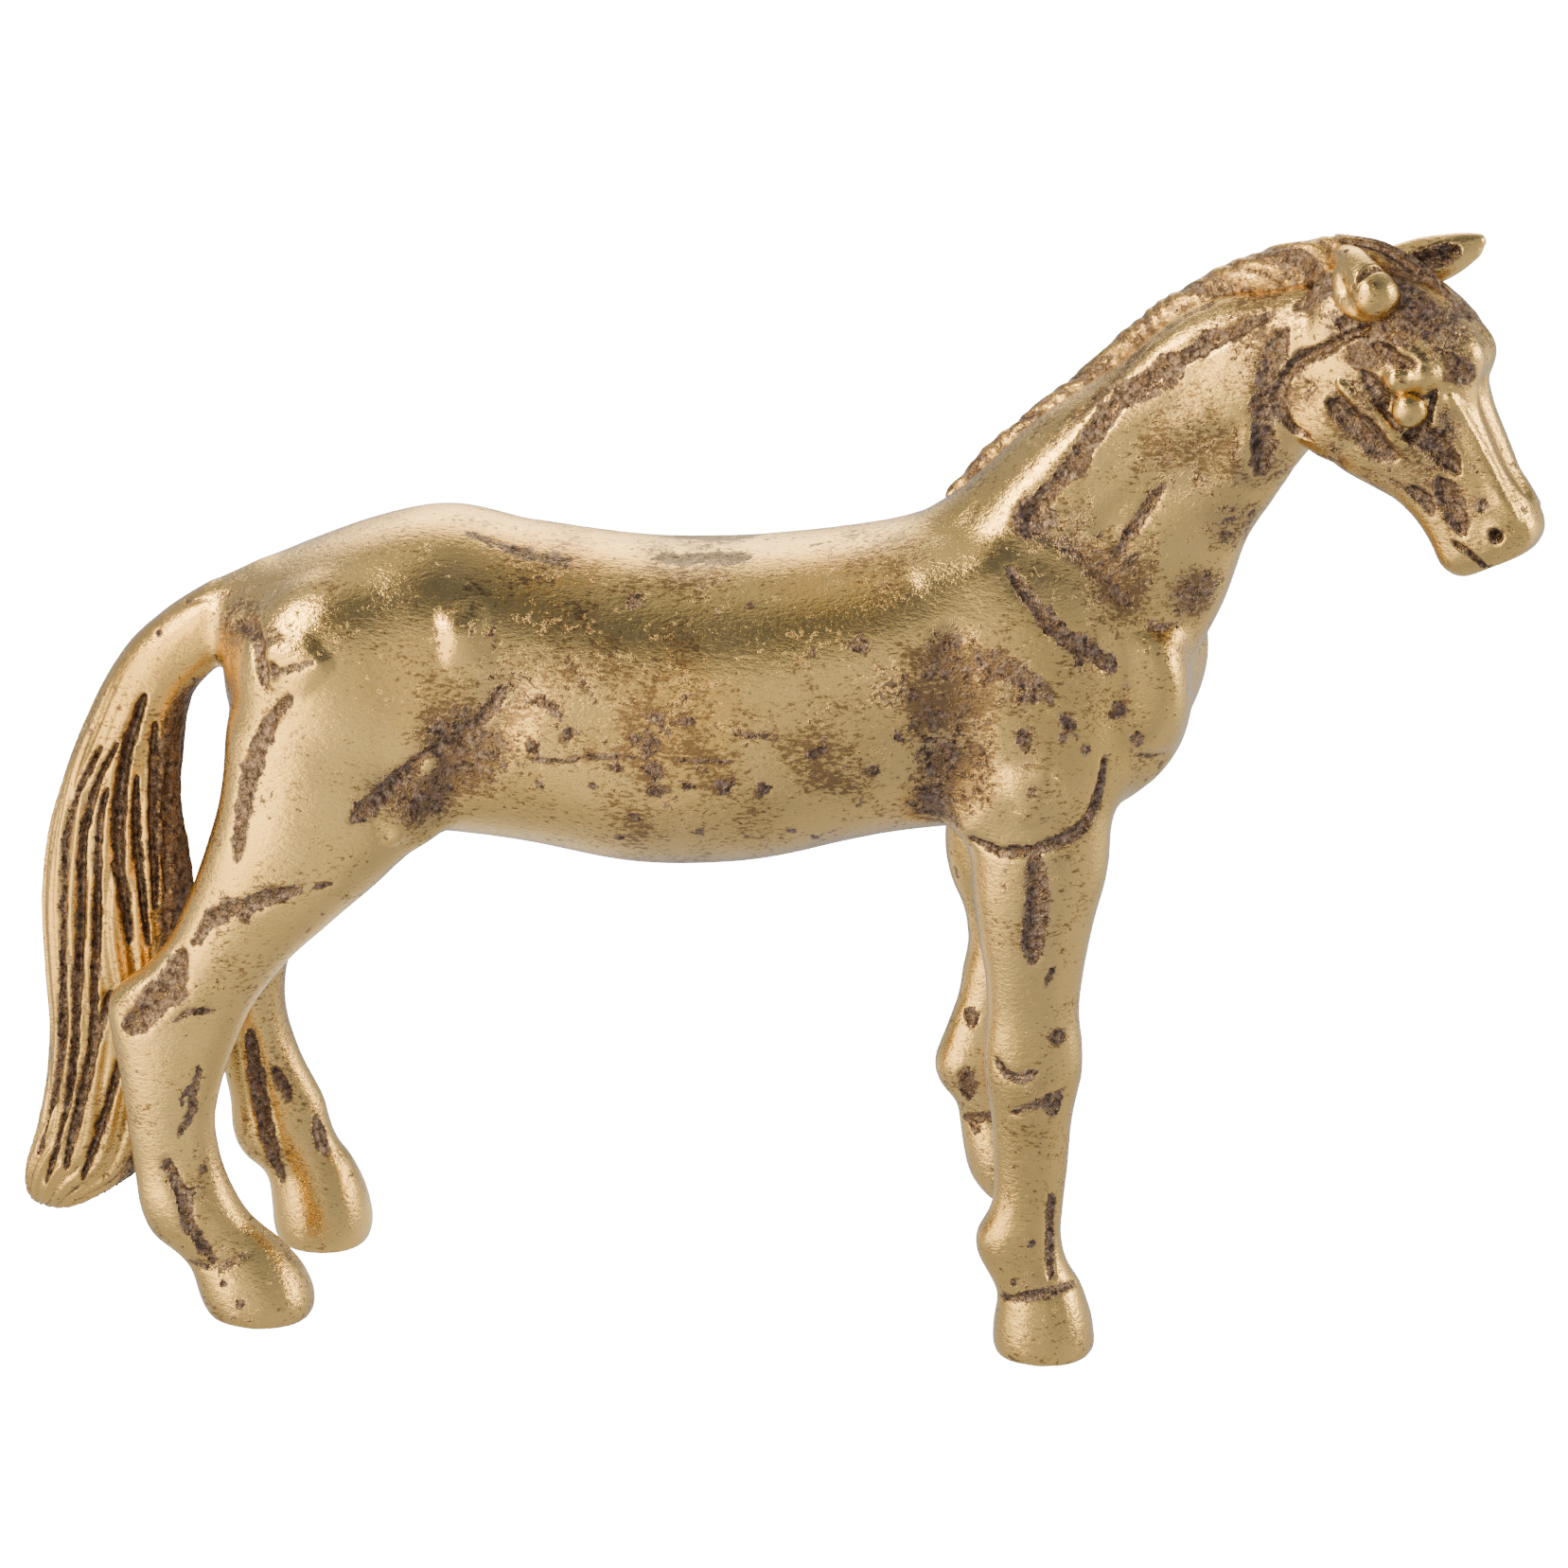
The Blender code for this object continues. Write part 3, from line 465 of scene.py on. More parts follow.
bodyMarks = [
    ([(10.6, -3.3, 36.6), (11.8, -3.0, 38.1), (14.1, -2.3, 41.2), (15.2, -2.3, 42.2), (17.7, -2.5, 44.0),
      (20.2, -2.7, 45.3)], 0.62, 0.2, 1.0, {"ragged": 0.45}),                   # groove under the crest
    ([(10.9, -3.4, 36.8)], 1.0, 0.2, 1.0),
    ([(10.6, -3.5, 36.2), (13.1, -3.9, 35.2), (14.8, -4.1, 33.4)], 0.7, 0.12, 0.5, {"ragged": 0.6}),
    ([(14.2, -3.8, 35.2)], 0.9, 0.06, 0.5, {"ragged": 0.6}),
    ([(16.1, -3.4, 38.2), (15.2, -3.5, 36.9), (14.3, -3.8, 35.2)], 0.35, 0.14, 0.75),
    ([(9.9, -4.6, 34.8), (11.2, -5.3, 33.3), (12.2, -5.4, 32.4), (13.4, -5.2, 31.5), (14.4, -5.0, 30.8)],
     0.5, 0.16, 1.0, {"ragged": 0.5}),                                          # gash on the shoulder
    ([(8.7, -5.9, 31.5), (10.3, -6.0, 30.7), (11.9, -6.0, 29.8)], 0.6, 0.05, 0.62, {"ragged": 0.7}),
    ([(14.1, -5.2, 27.0), (13.8, -5.2, 25.4), (13.4, -5.4, 24.3), (12.3, -5.8, 23.6), (11.0, -6.0, 23.1),
      (9.6, -5.7, 23.0), (8.6, -5.3, 23.4)], 0.38, 0.24, 0.85, {"ragged": 0.25}),  # under the elbow
    ([(20.9, -3.5, 45.0), (20.4, -3.6, 43.6), (20.2, -3.6, 41.4), (20.0, -3.3, 38.9)], 0.75, 0.2, 0.8),
    ([(20.4, -3.5, 40.8), (20.2, -3.2, 38.8)], 0.6, 0.2, 0.9),                  # throat
    ([(-20.6, -6.0, 29.6)], 0.5, 0.6, 1.0, {"ragged": 0.1}),                    # pit at the hip
    ([(-20.5, -6.0, 29.6), (-19.6, -6.2, 29.8), (-18.7, -6.4, 30.1)], 0.22, 0.16, 0.9),
    ([(-23.0, -3.0, 30.6), (-21.9, -4.5, 30.9), (-21.2, -5.2, 30.2), (-21.0, -5.8, 28.9)], 0.6, 0.3, 0.8),
    ([(-19.8, -6.4, 28.6), (-20.8, -6.1, 27.3), (-21.4, -6.1, 26.0), (-21.9, -6.1, 24.3), (-22.2, -6.2, 22.3),
      (-22.3, -6.2, 21.2)], 0.5, 0.17, 0.95, {"ragged": 0.4}),                  # down the buttock
    ([(-14.2, -6.3, 26.2), (-12.1, -6.5, 27.5), (-10.9, -6.3, 29.1)], 0.4, 0.12, 0.8, {"ragged": 0.5}),
    ([(-17.3, -6.6, 23.3), (-16.4, -6.4, 24.2), (-15.4, -6.1, 25.0), (-14.2, -6.3, 26.2)], 0.55, 0.14, 0.95,
     {"ragged": 0.5}),
    ([(-19.6, -6.5, 20.2), (-20.7, -6.5, 19.8), (-21.8, -6.4, 19.3), (-22.8, -6.2, 19.1), (-23.7, -6.0, 18.3),
      (-24.3, -5.8, 17.4)], 0.48, 0.13, 0.95, {"ragged": 0.5}),                 # across the gaskin
    ([(-13.0, -2.0, 34.7), (-11.4, -2.4, 34.2), (-9.7, -2.7, 33.9), (-8.6, -2.5, 33.8)], 0.4, 0.04, 0.9,
     {"ragged": 0.6}),
    ([(-5.0, -1.6, 33.9), (-3.2, -1.6, 33.9), (-1.5, -1.7, 34.0)], 0.75, 0.06, 0.85,
     {"ends": 0.5, "ragged": 0.5}),
    ([(-8.3, -6.0, 30.8), (-7.7, -6.3, 30.0), (-6.9, -6.6, 29.0)], 0.12, 0.06, 0.7),
    ([(-9.9, -6.4, 26.3), (-7.7, -6.6, 26.4)], 0.16, 0.05, 0.75),
    ([(-7.9, -6.7, 26.6), (-5.3, -6.9, 26.7)], 0.14, 0.05, 0.75),
    ([(-3.5, -6.9, 26.7), (-1.1, -6.9, 26.8)], 0.16, 0.05, 0.8),
    ([(-1.1, -6.9, 27.9), (0.8, -6.9, 27.9)], 0.14, 0.05, 0.75),
    ([(-19.0, -6.5, 20.3), (-18.2, -6.5, 20.4)], 0.15, 0.06, 0.9),
]
spots = [  # middle and size of each dark spot
    (-4.5, -6.8, 28.4, 0.35), (-3.2, -6.9, 28.4, 0.3), (-9.3, -6.4, 28.9, 0.28), (-8.8, -6.5, 28.7, 0.3),
    (-8.1, -6.7, 27.6, 0.35), (-9.5, -6.5, 26.8, 0.3), (-5.3, -6.9, 27.6, 0.25), (-4.5, -6.9, 27.3, 0.4),
    (-5.9, -6.8, 26.2, 0.28), (-4.5, -6.9, 26.2, 0.35), (-7.1, -6.6, 25.3, 0.25), (-4.5, -6.8, 25.3, 0.4),
    (-3.1, -6.8, 25.6, 0.3), (-1.7, -6.8, 25.7, 0.3), (0.2, -6.7, 25.5, 0.3), (-9.4, -6.2, 25.1, 0.25),
    (-5.4, -6.3, 23.9, 0.3), (-6.1, -5.5, 22.8, 0.2), (-2.7, -6.0, 23.4, 0.2), (1.0, -5.5, 23.4, 0.25),
    (2.0, -4.6, 22.8, 0.25), (2.2, -6.8, 27.2, 0.35), (4.1, -6.1, 31.6, 0.35), (2.1, -6.2, 31.3, 0.2),
    (-5.7, -4.4, 32.7, 0.35), (-0.7, -4.7, 32.8, 0.3), (10.7, -6.1, 28.0, 0.4), (12.6, -5.9, 28.7, 0.4),
    (13.3, -5.6, 27.5, 0.35), (14.6, -4.9, 29.2, 0.3), (15.4, -4.4, 27.7, 0.26),
    (11.2, -6.1, 25.7, 0.25), (6.2, -6.3, 29.8, 0.4), (5.6, -6.4, 28.0, 0.35), (4.6, -6.5, 26.4, 0.3),
]
# Middle, size, and how stained, pitted or warm the surface is there
weathering = [
    ((7.5, -6.0, 29.0), 1.9, {"dark": 0.5}),
    ((7.3, -5.8, 27.0), 1.9, {"dark": 0.55}),
    ((7.0, -5.0, 24.6), 1.9, {"dark": 0.55}),
    ((10.4, -5.9, 29.8), 1.6, {"dark": 0.34}),
    ((-12.6, -6.4, 26.6), 3.0, {"dark": 0.6}),
    ((-14.4, -6.2, 24.4), 2.5, {"dark": 0.55}),
    ((-10.6, -6.4, 29.0), 2.2, {"dark": 0.4}),
    ((-4.5, -6.8, 26.6), 6.0, {"dark": 0.16}),
    ((3.6, -6.3, 27.4), 4.0, {"dark": 0.14}),
    ((-4.0, -5.6, 22.6), 4.0, {"dark": 0.22}),
    ((-9.5, -2.4, 34.0), 3.2, {"dark": 0.26}),
    ((-3.4, -1.8, 33.9), 3.4, {"dark": 0.34}),
    ((3.4, -2.2, 34.4), 3.2, {"dark": 0.26}),
    ((14.2, -3.9, 34.4), 2.4, {"dark": 0.36}),
    ((12.6, -3.2, 36.6), 1.6, {"dark": 0.34}),
    ((17.0, -3.2, 39.6), 3.4, {"dark": 0.34}),
    ((18.9, -2.6, 36.6), 2.0, {"dark": 0.42}),
    ((17.4, -2.9, 33.6), 1.8, {"dark": 0.56}),
    ((20.0, -3.0, 43.6), 2.4, {"dark": 0.34}),
    ((19.8, -3.2, 39.4), 2.0, {"dark": 0.5}),
    ((13.2, -5.3, 30.6), 2.2, {"dark": 0.24}),
    ((12.0, -5.6, 22.8), 1.6, {"dark": 0.3}),
    ((-26.4, -5.4, 14.2), 1.8, {"dark": 0.34}),
    ((-20.6, -5.6, 30.4), 1.8, {"dark": 0.4}),
    ((-22.9, -3.0, 30.4), 2.2, {"dark": 0.5}),
    ((-16.0, -6.2, 24.6), 1.6, {"dark": 0.36}),
    ((-25.0, -5.4, 5.6), 1.6, {"dark": 0.3}),
    ((11.6, -5.0, 12.4), 1.6, {"dark": 0.3}),
    ((11.6, -5.0, 3.6), 1.3, {"dark": 0.3}),
    ((-23.4, -5.6, 3.0), 1.4, {"dark": 0.24}),
    ((-4.0, -6.8, 26.6), 7.0, {"pits": 0.7}),
    ((3.0, -6.5, 26.5), 5.0, {"pits": 0.6}),
    ((6.6, -6.0, 29.8), 3.4, {"pits": 1.0}),
    ((8.2, -5.8, 26.5), 3.0, {"pits": 0.8}),
    ((-7.5, -6.4, 30.5), 3.0, {"pits": 0.7}),
    ((-11.5, -6.2, 26.5), 4.0, {"pits": 0.75}),
    ((-4.0, -2.0, 33.8), 4.5, {"pits": 0.6}),
    ((5.0, -3.0, 34.4), 3.5, {"pits": 0.6}),
    ((13.0, -5.4, 29.0), 4.0, {"pits": 0.45}),
    ((14.6, -3.8, 35.0), 2.6, {"pits": 0.9}),
    ((17.5, -3.3, 41.0), 3.5, {"pits": 0.5}),
    ((19.5, -2.6, 45.4), 2.4, {"pits": 1.0}),
    ((-3.5, -6.8, 28.6), 3.6, {"warm": 0.8}),
    ((-9.5, -3.0, 33.9), 4.0, {"warm": 0.9}),
    ((3.0, -4.0, 33.8), 3.5, {"warm": 0.7}),
    ((-15.0, -6.5, 29.5), 3.0, {"warm": 0.5}),
]
legMarks = [
    ([(11.3, -6.0, 22.9), (11.4, -6.0, 21.4), (11.3, -5.8, 19.8), (11.2, -5.8, 18.3)], 0.62, 0.2, 1.0,
     {"ends": 0.5, "ragged": 0.15}),                                            # slot in the forearm
    ([(12.1, -5.5, 18.0), (11.7, -5.5, 16.9)], 0.16, 0.06, 0.7),
    ([(9.7, -5.0, 13.5), (10.2, -5.3, 13.0), (10.8, -5.4, 12.9), (11.4, -5.4, 13.3)], 0.3, 0.16, 0.9),
    ([(12.3, -5.1, 14.7)], 0.42, 0.12, 0.9),
    ([(10.3, -5.2, 11.2), (11.4, -5.3, 11.7), (12.5, -5.0, 12.3)], 0.3, 0.12, 0.6),
    ([(11.7, -5.3, 12.0), (12.1, -5.2, 11.3), (12.4, -5.0, 12.0)], 0.28, 0.12, 1.0),
    ([(12.1, -4.8, 7.4), (12.1, -4.8, 5.6), (12.1, -5.0, 3.8)], 0.32, 0.22, 1.0),
    ([(11.3, -5.2, 5.4)], 0.22, 0.12, 1.0),
    ([(10.5, -5.2, 3.6)], 0.2, 0.1, 0.9),
    ([(9.8, -4.9, 2.8), (10.6, -5.2, 2.9), (12.1, -5.2, 3.3), (13.0, -4.2, 3.3)], 0.3, 0.14, 0.7),  # coronet
    ([(-24.9, -5.5, 16.6), (-25.3, -5.7, 15.4), (-26.0, -5.6, 14.6), (-27.2, -5.4, 13.4)], 0.85, 0.26, 1.0,
     {"ragged": 0.3, "ends": 0.5}),                                             # hock
    ([(-25.3, -5.7, 13.7), (-24.6, -5.7, 14.2), (-23.6, -5.5, 14.2)], 0.2, 0.08, 0.8),
    ([(-24.3, -5.4, 11.5), (-24.7, -5.4, 10.4), (-24.8, -5.4, 9.3), (-25.3, -5.4, 8.5)], 0.28, 0.1, 0.9,
     {"ragged": 0.7}),
    ([(-25.9, -5.5, 7.3), (-25.5, -5.5, 6.4), (-25.1, -5.7, 5.4), (-24.8, -5.8, 4.3), (-23.9, -5.8, 2.9)],
     0.42, 0.18, 0.95, {"ragged": 0.4}),
    ([(-24.3, -5.2, 6.9)], 0.2, 0.1, 1.0),
    ([(-25.2, -5.4, 2.6), (-23.6, -5.9, 2.7), (-22.3, -5.7, 3.4)], 0.3, 0.12, 0.5),  # coronet
    ([(-22.6, -6.4, 1.2)], 0.28, 0.06, 0.9, {"ragged": 0.6}),
    ([(-23.4, -6.1, 2.0)], 0.2, 0.05, 0.8),
]
farLegMarks = [
    ([(-24.0, 3.1, 10.2), (-23.7, 3.3, 7.0), (-22.8, 3.2, 3.2)], 0.45, 0.2, 1.0),
    ([(-23.0, 3.3, 8.4), (-22.4, 3.4, 7.0)], 0.35, 0.16, 1.0),
    ([(-21.3, 3.8, 6.0), (-20.8, 3.6, 4.4)], 0.4, 0.1, 0.9),
    ([(7.6, 2.2, 10.3), (7.7, 2.5, 9.0)], 0.5, 0.1, 0.9),
    ([(7.7, 2.7, 12.5)], 0.4, 0.1, 0.9),
    ([(8.0, 2.3, 7.7)], 0.35, 0.1, 0.9),
    ([(7.2, 2.6, 7.9), (8.6, 2.2, 8.2), (10.2, 2.6, 8.4)], 0.3, 0.14, 0.8),
]
tailMarks = [
    ([(-29.2, -1.5, 24.4), (-30.4, -1.3, 22.1), (-30.9, -1.3, 19.6), (-31.2, -1.3, 14.4), (-31.7, -1.1, 9.1),
      (-32.7, -1.0, 5.5)], 0.3, 0.36, 0.9),
    ([(-28.4, -1.5, 24.6), (-29.3, -1.6, 23.0), (-30.0, -1.6, 20.6), (-30.3, -1.6, 16.3), (-30.7, -1.5, 11.5),
      (-31.3, -1.4, 7.5), (-32.3, -1.2, 4.3)], 0.3, 0.38, 0.9),
    ([(-28.9, -1.7, 22.6), (-29.3, -1.7, 21.0), (-29.6, -1.8, 15.5), (-30.0, -1.6, 11.1), (-31.4, -1.5, 5.3)],
     0.28, 0.38, 0.9),
    ([(-27.2, -1.5, 26.8), (-28.2, -1.7, 23.4), (-28.5, -1.8, 19.8), (-28.1, -1.7, 15.6)], 0.4, 0.45, 1.0),
    ([(-27.6, -1.6, 23.2), (-27.7, -1.6, 20.0), (-27.3, -1.6, 15.6)], 0.28, 0.36, 0.9),
    ([(-26.8, -1.3, 25.5), (-27.0, -1.3, 21.9), (-27.0, -1.4, 17.2)], 0.36, 0.35, 1.0),
    ([(-26.3, -0.7, 24.2), (-26.5, -1.1, 18.0)], 0.4, 0.3, 1.0),
    ([(-29.0, -1.8, 13.5), (-29.6, -1.7, 11.6), (-31.3, -1.5, 5.1)], 0.28, 0.36, 0.9),
    ([(-28.2, -1.8, 12.0), (-29.2, -1.7, 8.5), (-30.6, -1.4, 4.6)], 0.28, 0.34, 0.9),
    ([(-25.3, -0.7, 30.9)], 0.25, 0.06, 0.9),
    ([(-26.6, -1.2, 29.5)], 0.2, 0.06, 0.9),
    ([(-25.6, -0.8, 30.6), (-23.5, -1.5, 31.4), (-20.8, -2.8, 32.6)], 0.18, 0.05, 0.35),
]
# These are in the straight profile of the head, before it is turned
faceForms = [
    ([(26.7, -2.2, 43.6)], 0.85, -0.5, 0, {"ragged": 0}),                       # upper lid
    ([(27.7, -2.1, 43.85)], 0.85, -0.5, 0, {"ragged": 0}),
    ([(28.6, -0.6, 44.3)], 1.3, -0.4, 0, {"ragged": 0}),                        # brow
    ([(28.3, -1.35, 43.0), (29.5, -1.2, 41.0), (30.7, -1.15, 38.9), (31.4, -1.1, 38.0)], 0.55, -0.22, 0,
     {"ragged": 0, "ends": 0.5}),                                               # edge of the nose
    ([(29.3, 0, 43.2), (30.2, 0, 41.0), (31.4, 0, 38.6)], 0.9, 0.12, 0, {"ragged": 0}),
    ([(24.2, -2.5, 43.2), (25.0, -2.5, 42.5), (25.8, -2.4, 41.8), (26.6, -2.2, 41.0), (27.3, -2.0, 40.2)],
     0.55, -0.22, 0),                                                           # cheekbone
    ([(23.8, -2.5, 42.3), (24.8, -2.4, 41.6), (25.6, -2.3, 40.9), (26.4, -2.1, 40.3)], 0.85, 0.32, 0.8),
    ([(26.9, -1.8, 41.2), (27.8, -2.0, 41.2), (28.4, -1.9, 40.6), (29.0, -1.6, 39.9)], 0.8, 0.34, 0.85),
    ([(28.3, -1.7, 39.4), (28.7, -1.6, 38.7), (29.0, -1.6, 38.0), (29.3, -1.5, 37.3)], 0.7, 0.24, 0.8),
    ([(27.0, -1.6, 38.9), (27.6, -1.6, 38.6), (27.9, -1.5, 37.9)], 0.45, 0.18, 0.85),
    ([(28.0, -2.0, 43.0), (29.0, -1.5, 41.4), (30.3, -1.2, 39.5), (30.8, -1.3, 38.6)], 0.5, 0.1, 0.25),
    ([(25.2, -2.5, 43.7), (25.9, -2.5, 42.9), (26.0, -2.4, 42.3)], 0.5, 0.22, 0.85),
    ([(26.3, -2.3, 45.1), (27.1, -2.2, 44.7), (28.0, -2.1, 44.3)], 0.45, -0.16, 0.3),
    ([(25.6, -2.4, 44.9), (26.6, -2.2, 44.5), (27.6, -2.2, 44.2)], 0.4, 0.2, 0.8),
]
faceMarks = [
    ([(25.3, -2.3, 45.6), (24.3, -2.4, 45.0), (23.5, -2.3, 44.5), (22.3, -2.1, 43.8), (21.6, -2.0, 42.8),
      (21.5, -1.9, 41.7), (22.0, -1.9, 41.0), (22.8, -2.2, 40.7)], 0.42, 0.3, 1.0),  # round the cheek
    ([(26.5, -2.0, 43.0), (26.8, -2.0, 42.9), (27.3, -2.4, 43.1), (27.8, -2.3, 42.9), (28.2, -2.1, 43.3)],
     0.14, 0.12, 1.0, {"ragged": 0.1}),                                         # under the upper lid
    ([(26.3, -2.4, 42.8), (26.2, -2.0, 42.2), (26.4, -1.7, 41.7), (27.0, -1.7, 41.5), (27.7, -1.8, 41.8),
      (28.0, -2.1, 42.4), (28.2, -2.1, 43.2)], 0.24, 0.24, 1.0, {"ragged": 0.1}),  # round the eye
    ([(30.75, -1.6, 37.3)], 0.42, 0.55, 1.0, {"ragged": 0.1}),                  # nostril
    ([(28.9, -1.5, 36.8), (29.5, -1.5, 36.5), (29.9, -1.4, 36.2), (30.3, -1.0, 35.8)], 0.2, 0.3, 1.0,
     {"ragged": 0.1}),                                                          # mouth
    ([(29.9, -1.5, 38.7), (30.3, -1.4, 38.5)], 0.42, 0.05, 0.75, {"ragged": 0.6}),
    ([(26.7, -1.3, 46.9), (27.3, -1.6, 46.1), (27.8, -1.8, 45.3)], 1.3, 0.02, 0.85,
     {"ragged": 0.5, "pits": 1.0}),
    ([(26.3, -2.3, 45.6), (25.2, -2.3, 45.5), (24.0, -2.2, 45.6)], 0.7, 0.2, 0.95, {"ragged": 0.4}),
    ([(26.2, -2.4, 44.9), (25.4, -2.5, 44.4), (24.6, -2.5, 44.2)], 1.0, 0.05, 0.7,
     {"ragged": 0.6, "pits": 1.0}),
    ([(28.2, -1.5, 44.6), (28.8, -0.8, 43.9)], 0.7, 0.04, 0.6, {"ragged": 0.6, "pits": 1.0}),
    ([(28.4, 0.0, 45.6), (28.0, 0.0, 46.2)], 1.2, 0.05, 0.8, {"ragged": 0.5, "pits": 1.0}),
    ([(21.8, -1.9, 46.3), (22.8, -1.5, 46.9), (23.8, -1.7, 47.0)], 0.7, 0.12, 1.0, {"ragged": 0.5}),
    ([(23.2, -0.8, 48.2), (23.9, -0.7, 48.0)], 0.7, 0.12, 1.0, {"ragged": 0.5}),
    ([(27.3, -1.5, 38.5), (26.2, -1.7, 39.3)], 0.2, 0.05, 0.6),
]
faceWeathering = [
    ((24.7, -1.9, 46.4), 1.5, {"dark": 0.75}),
    ((25.6, -1.9, 39.0), 1.3, {"dark": 0.34}),
    ((23.8, -2.0, 40.2), 1.2, {"dark": 0.34}),
    ((26.4, -2.3, 45.6), 1.7, {"dark": 0.62}),
    ((24.4, -2.4, 45.4), 1.9, {"dark": 0.5}),
    ((28.0, -1.2, 45.4), 1.7, {"dark": 0.66}),
    ((26.0, -1.6, 47.0), 1.6, {"dark": 0.66}),
    ((28.5, -1.6, 41.8), 1.3, {"dark": 0.5}),
    ((27.4, -1.8, 39.8), 2.2, {"dark": 0.4}),
    ((24.8, -2.4, 42.4), 2.0, {"dark": 0.42}),
    ((29.3, -1.4, 38.2), 1.5, {"dark": 0.36}),
    ((22.4, -2.2, 42.6), 1.5, {"dark": 0.36}),
    ((22.6, -1.6, 46.6), 1.6, {"dark": 0.5}),
    ((26.2, -2.3, 42.9), 1.0, {"dark": 0.55}),
]


# Trunk, neck, head, legs and tail grow out of one skin, which is then parted at its creases
casting = {"grain": 0.18, "rounds": 55, "waves": 0.02, "ripples": 0.008, "crust": 0.04, "crumb": 200}
# The last value in tailHair is how dark the painted shade is on the tail's underside and on its side that
# faces the buttock
tailHair = {"deep": 0.07, "locks": 17, "strands": 41, "stain": 0.2, "innerShade": 0.95}
hollowStain = {"fine": 0.9, "broad": 0.8, "rubbed": 0.35, "fullest": 1.2}
leastPits = 0.3
seams = {  # a point on each crease, the direction it faces, and the corners of the box that the cut stays in
    "head": ((20.6, -1.6, 43.0), (1, 0, -0.02), (18, -8, 34), (23, 4, 50)),
    "tail": ((-24.2, 0, 30.0), (-1, 0, 0), (-26, -3.4, 26), (-22, 3.4, 34)),
    "rightFore": ((11.2, -3.8, 22.5), (0.052, 0, -1), (6, -7, 20.5), (17, -0.8, 24.5)),
    "leftFore": ((10.4, 3.9, 22.0), (0.052, 0, -1), (5, 0.8, 20), (17, 7, 24)),
    "rightHind": ((-21.4, -4.1, 18.9), (0.19, 0, -1), (-25.55, -7.2, 16), (-15.5, -0.8, 22)),
    "leftHind": ((-20.8, 4.2, 18.9), (0.19, 0, -1), (-25.0, 0.8, 16), (-15.5, 7.2, 22)),
    "rightForeHoof": ((11.25, -3.8, 3.25), (0.1, 0, -1), (7, -7, 1.5), (15, -1, 5)),
    "leftForeHoof": ((8.7, 3.7, 8.25), (0.17, 0, -1), (5, 1, 6.5), (12, 7, 10)),
    "rightHindHoof": ((-23.55, -4.3, 3.0), (0.28, 0, -1), (-28, -7, 1), (-19, -1.9, 5)),
    "leftHindHoof": ((-21.9, 4.6, 3.6), (0.33, 0, -1), (-26, 2.2, 1.5), (-18, 7, 5.5)),
}


def blockOut():
    bm = bmesh.new()
    loft(bm, trunk, square=2.3)
    loft(bm, neck, place=bendNeck)
    loft(bm, skull, square=3.0, place=turnHead)
    loft(bm, tailSections)
    for sections in legs.values():
        loft(bm, sections, sides=64, steps=7)
    bothSides(bm, muscles)
    bothSides(bm, faceMasses, place=turnHead)
    block = blockOf(bm, "horse")
    melt(block, casting["grain"])
    return block


def chain(bm, beads):  # round beads strung close together along the turned head
    rows = np.array([(*p, r) for p, r in beads])
    length = np.linalg.norm(np.diff(rows[:, :3], axis=0), axis=1).sum()
    count = max(4, int(length / 0.1))
    t = np.linspace(0, len(rows) - 1, count)
    for x, y, z, radius in alongRows(rows, t):
        place = Matrix.Translation(turnHead([(x, y, z)])[0])
        bmesh.ops.create_icosphere(bm, subdivisions=3, radius=radius, matrix=place)


def refine(obj):  # finer clay where the head and the tail are carved
    bm = bmesh.new()
    bm.from_mesh(obj.data)
    inside = {v for v in bm.verts
              if v.co.x > 21.0 or (v.co.x < -24.4 and abs(v.co.y) < 2.9 and v.co.z > 2)}
    edges = [e for e in bm.edges if e.verts[0] in inside and e.verts[1] in inside]
    bmesh.ops.subdivide_edges(bm, edges=edges, cuts=1, use_grid_fill=True, smooth=0.6)
    bm.to_mesh(obj.data)
    bm.free()


def softness(co):  # how much each part is evened out
    x, y, z = co.T
    weight = 0.25 + 0.75 * smoothStep(z, 18, 23)
    weight = np.where(x > 19.5, np.minimum(weight, 1 - 0.8 * smoothStep(x, 19.5, 22.5)), weight)
    return np.where((x < -24.4) & (np.abs(y) < 2.9), np.minimum(weight, 0.5), weight)


def aroundTail(co):  # how far along the tail each point is, and where across it
    rows = np.array([(*low, *high, half, middle) for low, high, half, middle in tailSections])
    t = np.linspace(0, len(rows) - 1, 220)
    fine = alongRows(rows, t)
    centre = np.stack(((fine[:, 0] + fine[:, 2]) / 2, fine[:, 5], (fine[:, 1] + fine[:, 3]) / 2), 1)
    best = np.argmin(((co[:, None, ::2] - centre[None, :, ::2]) ** 2).sum(2), axis=1)
    across = np.stack((fine[:, 2] - fine[:, 0], fine[:, 3] - fine[:, 1]), 1)[best]
    width = np.linalg.norm(across, axis=1)
    u = ((co[:, ::2] - centre[best][:, ::2]) * across).sum(1) / width / (width / 2)
    v = (co[:, 1] - centre[best][:, 1]) / fine[best, 4]
    return t[best], u, v


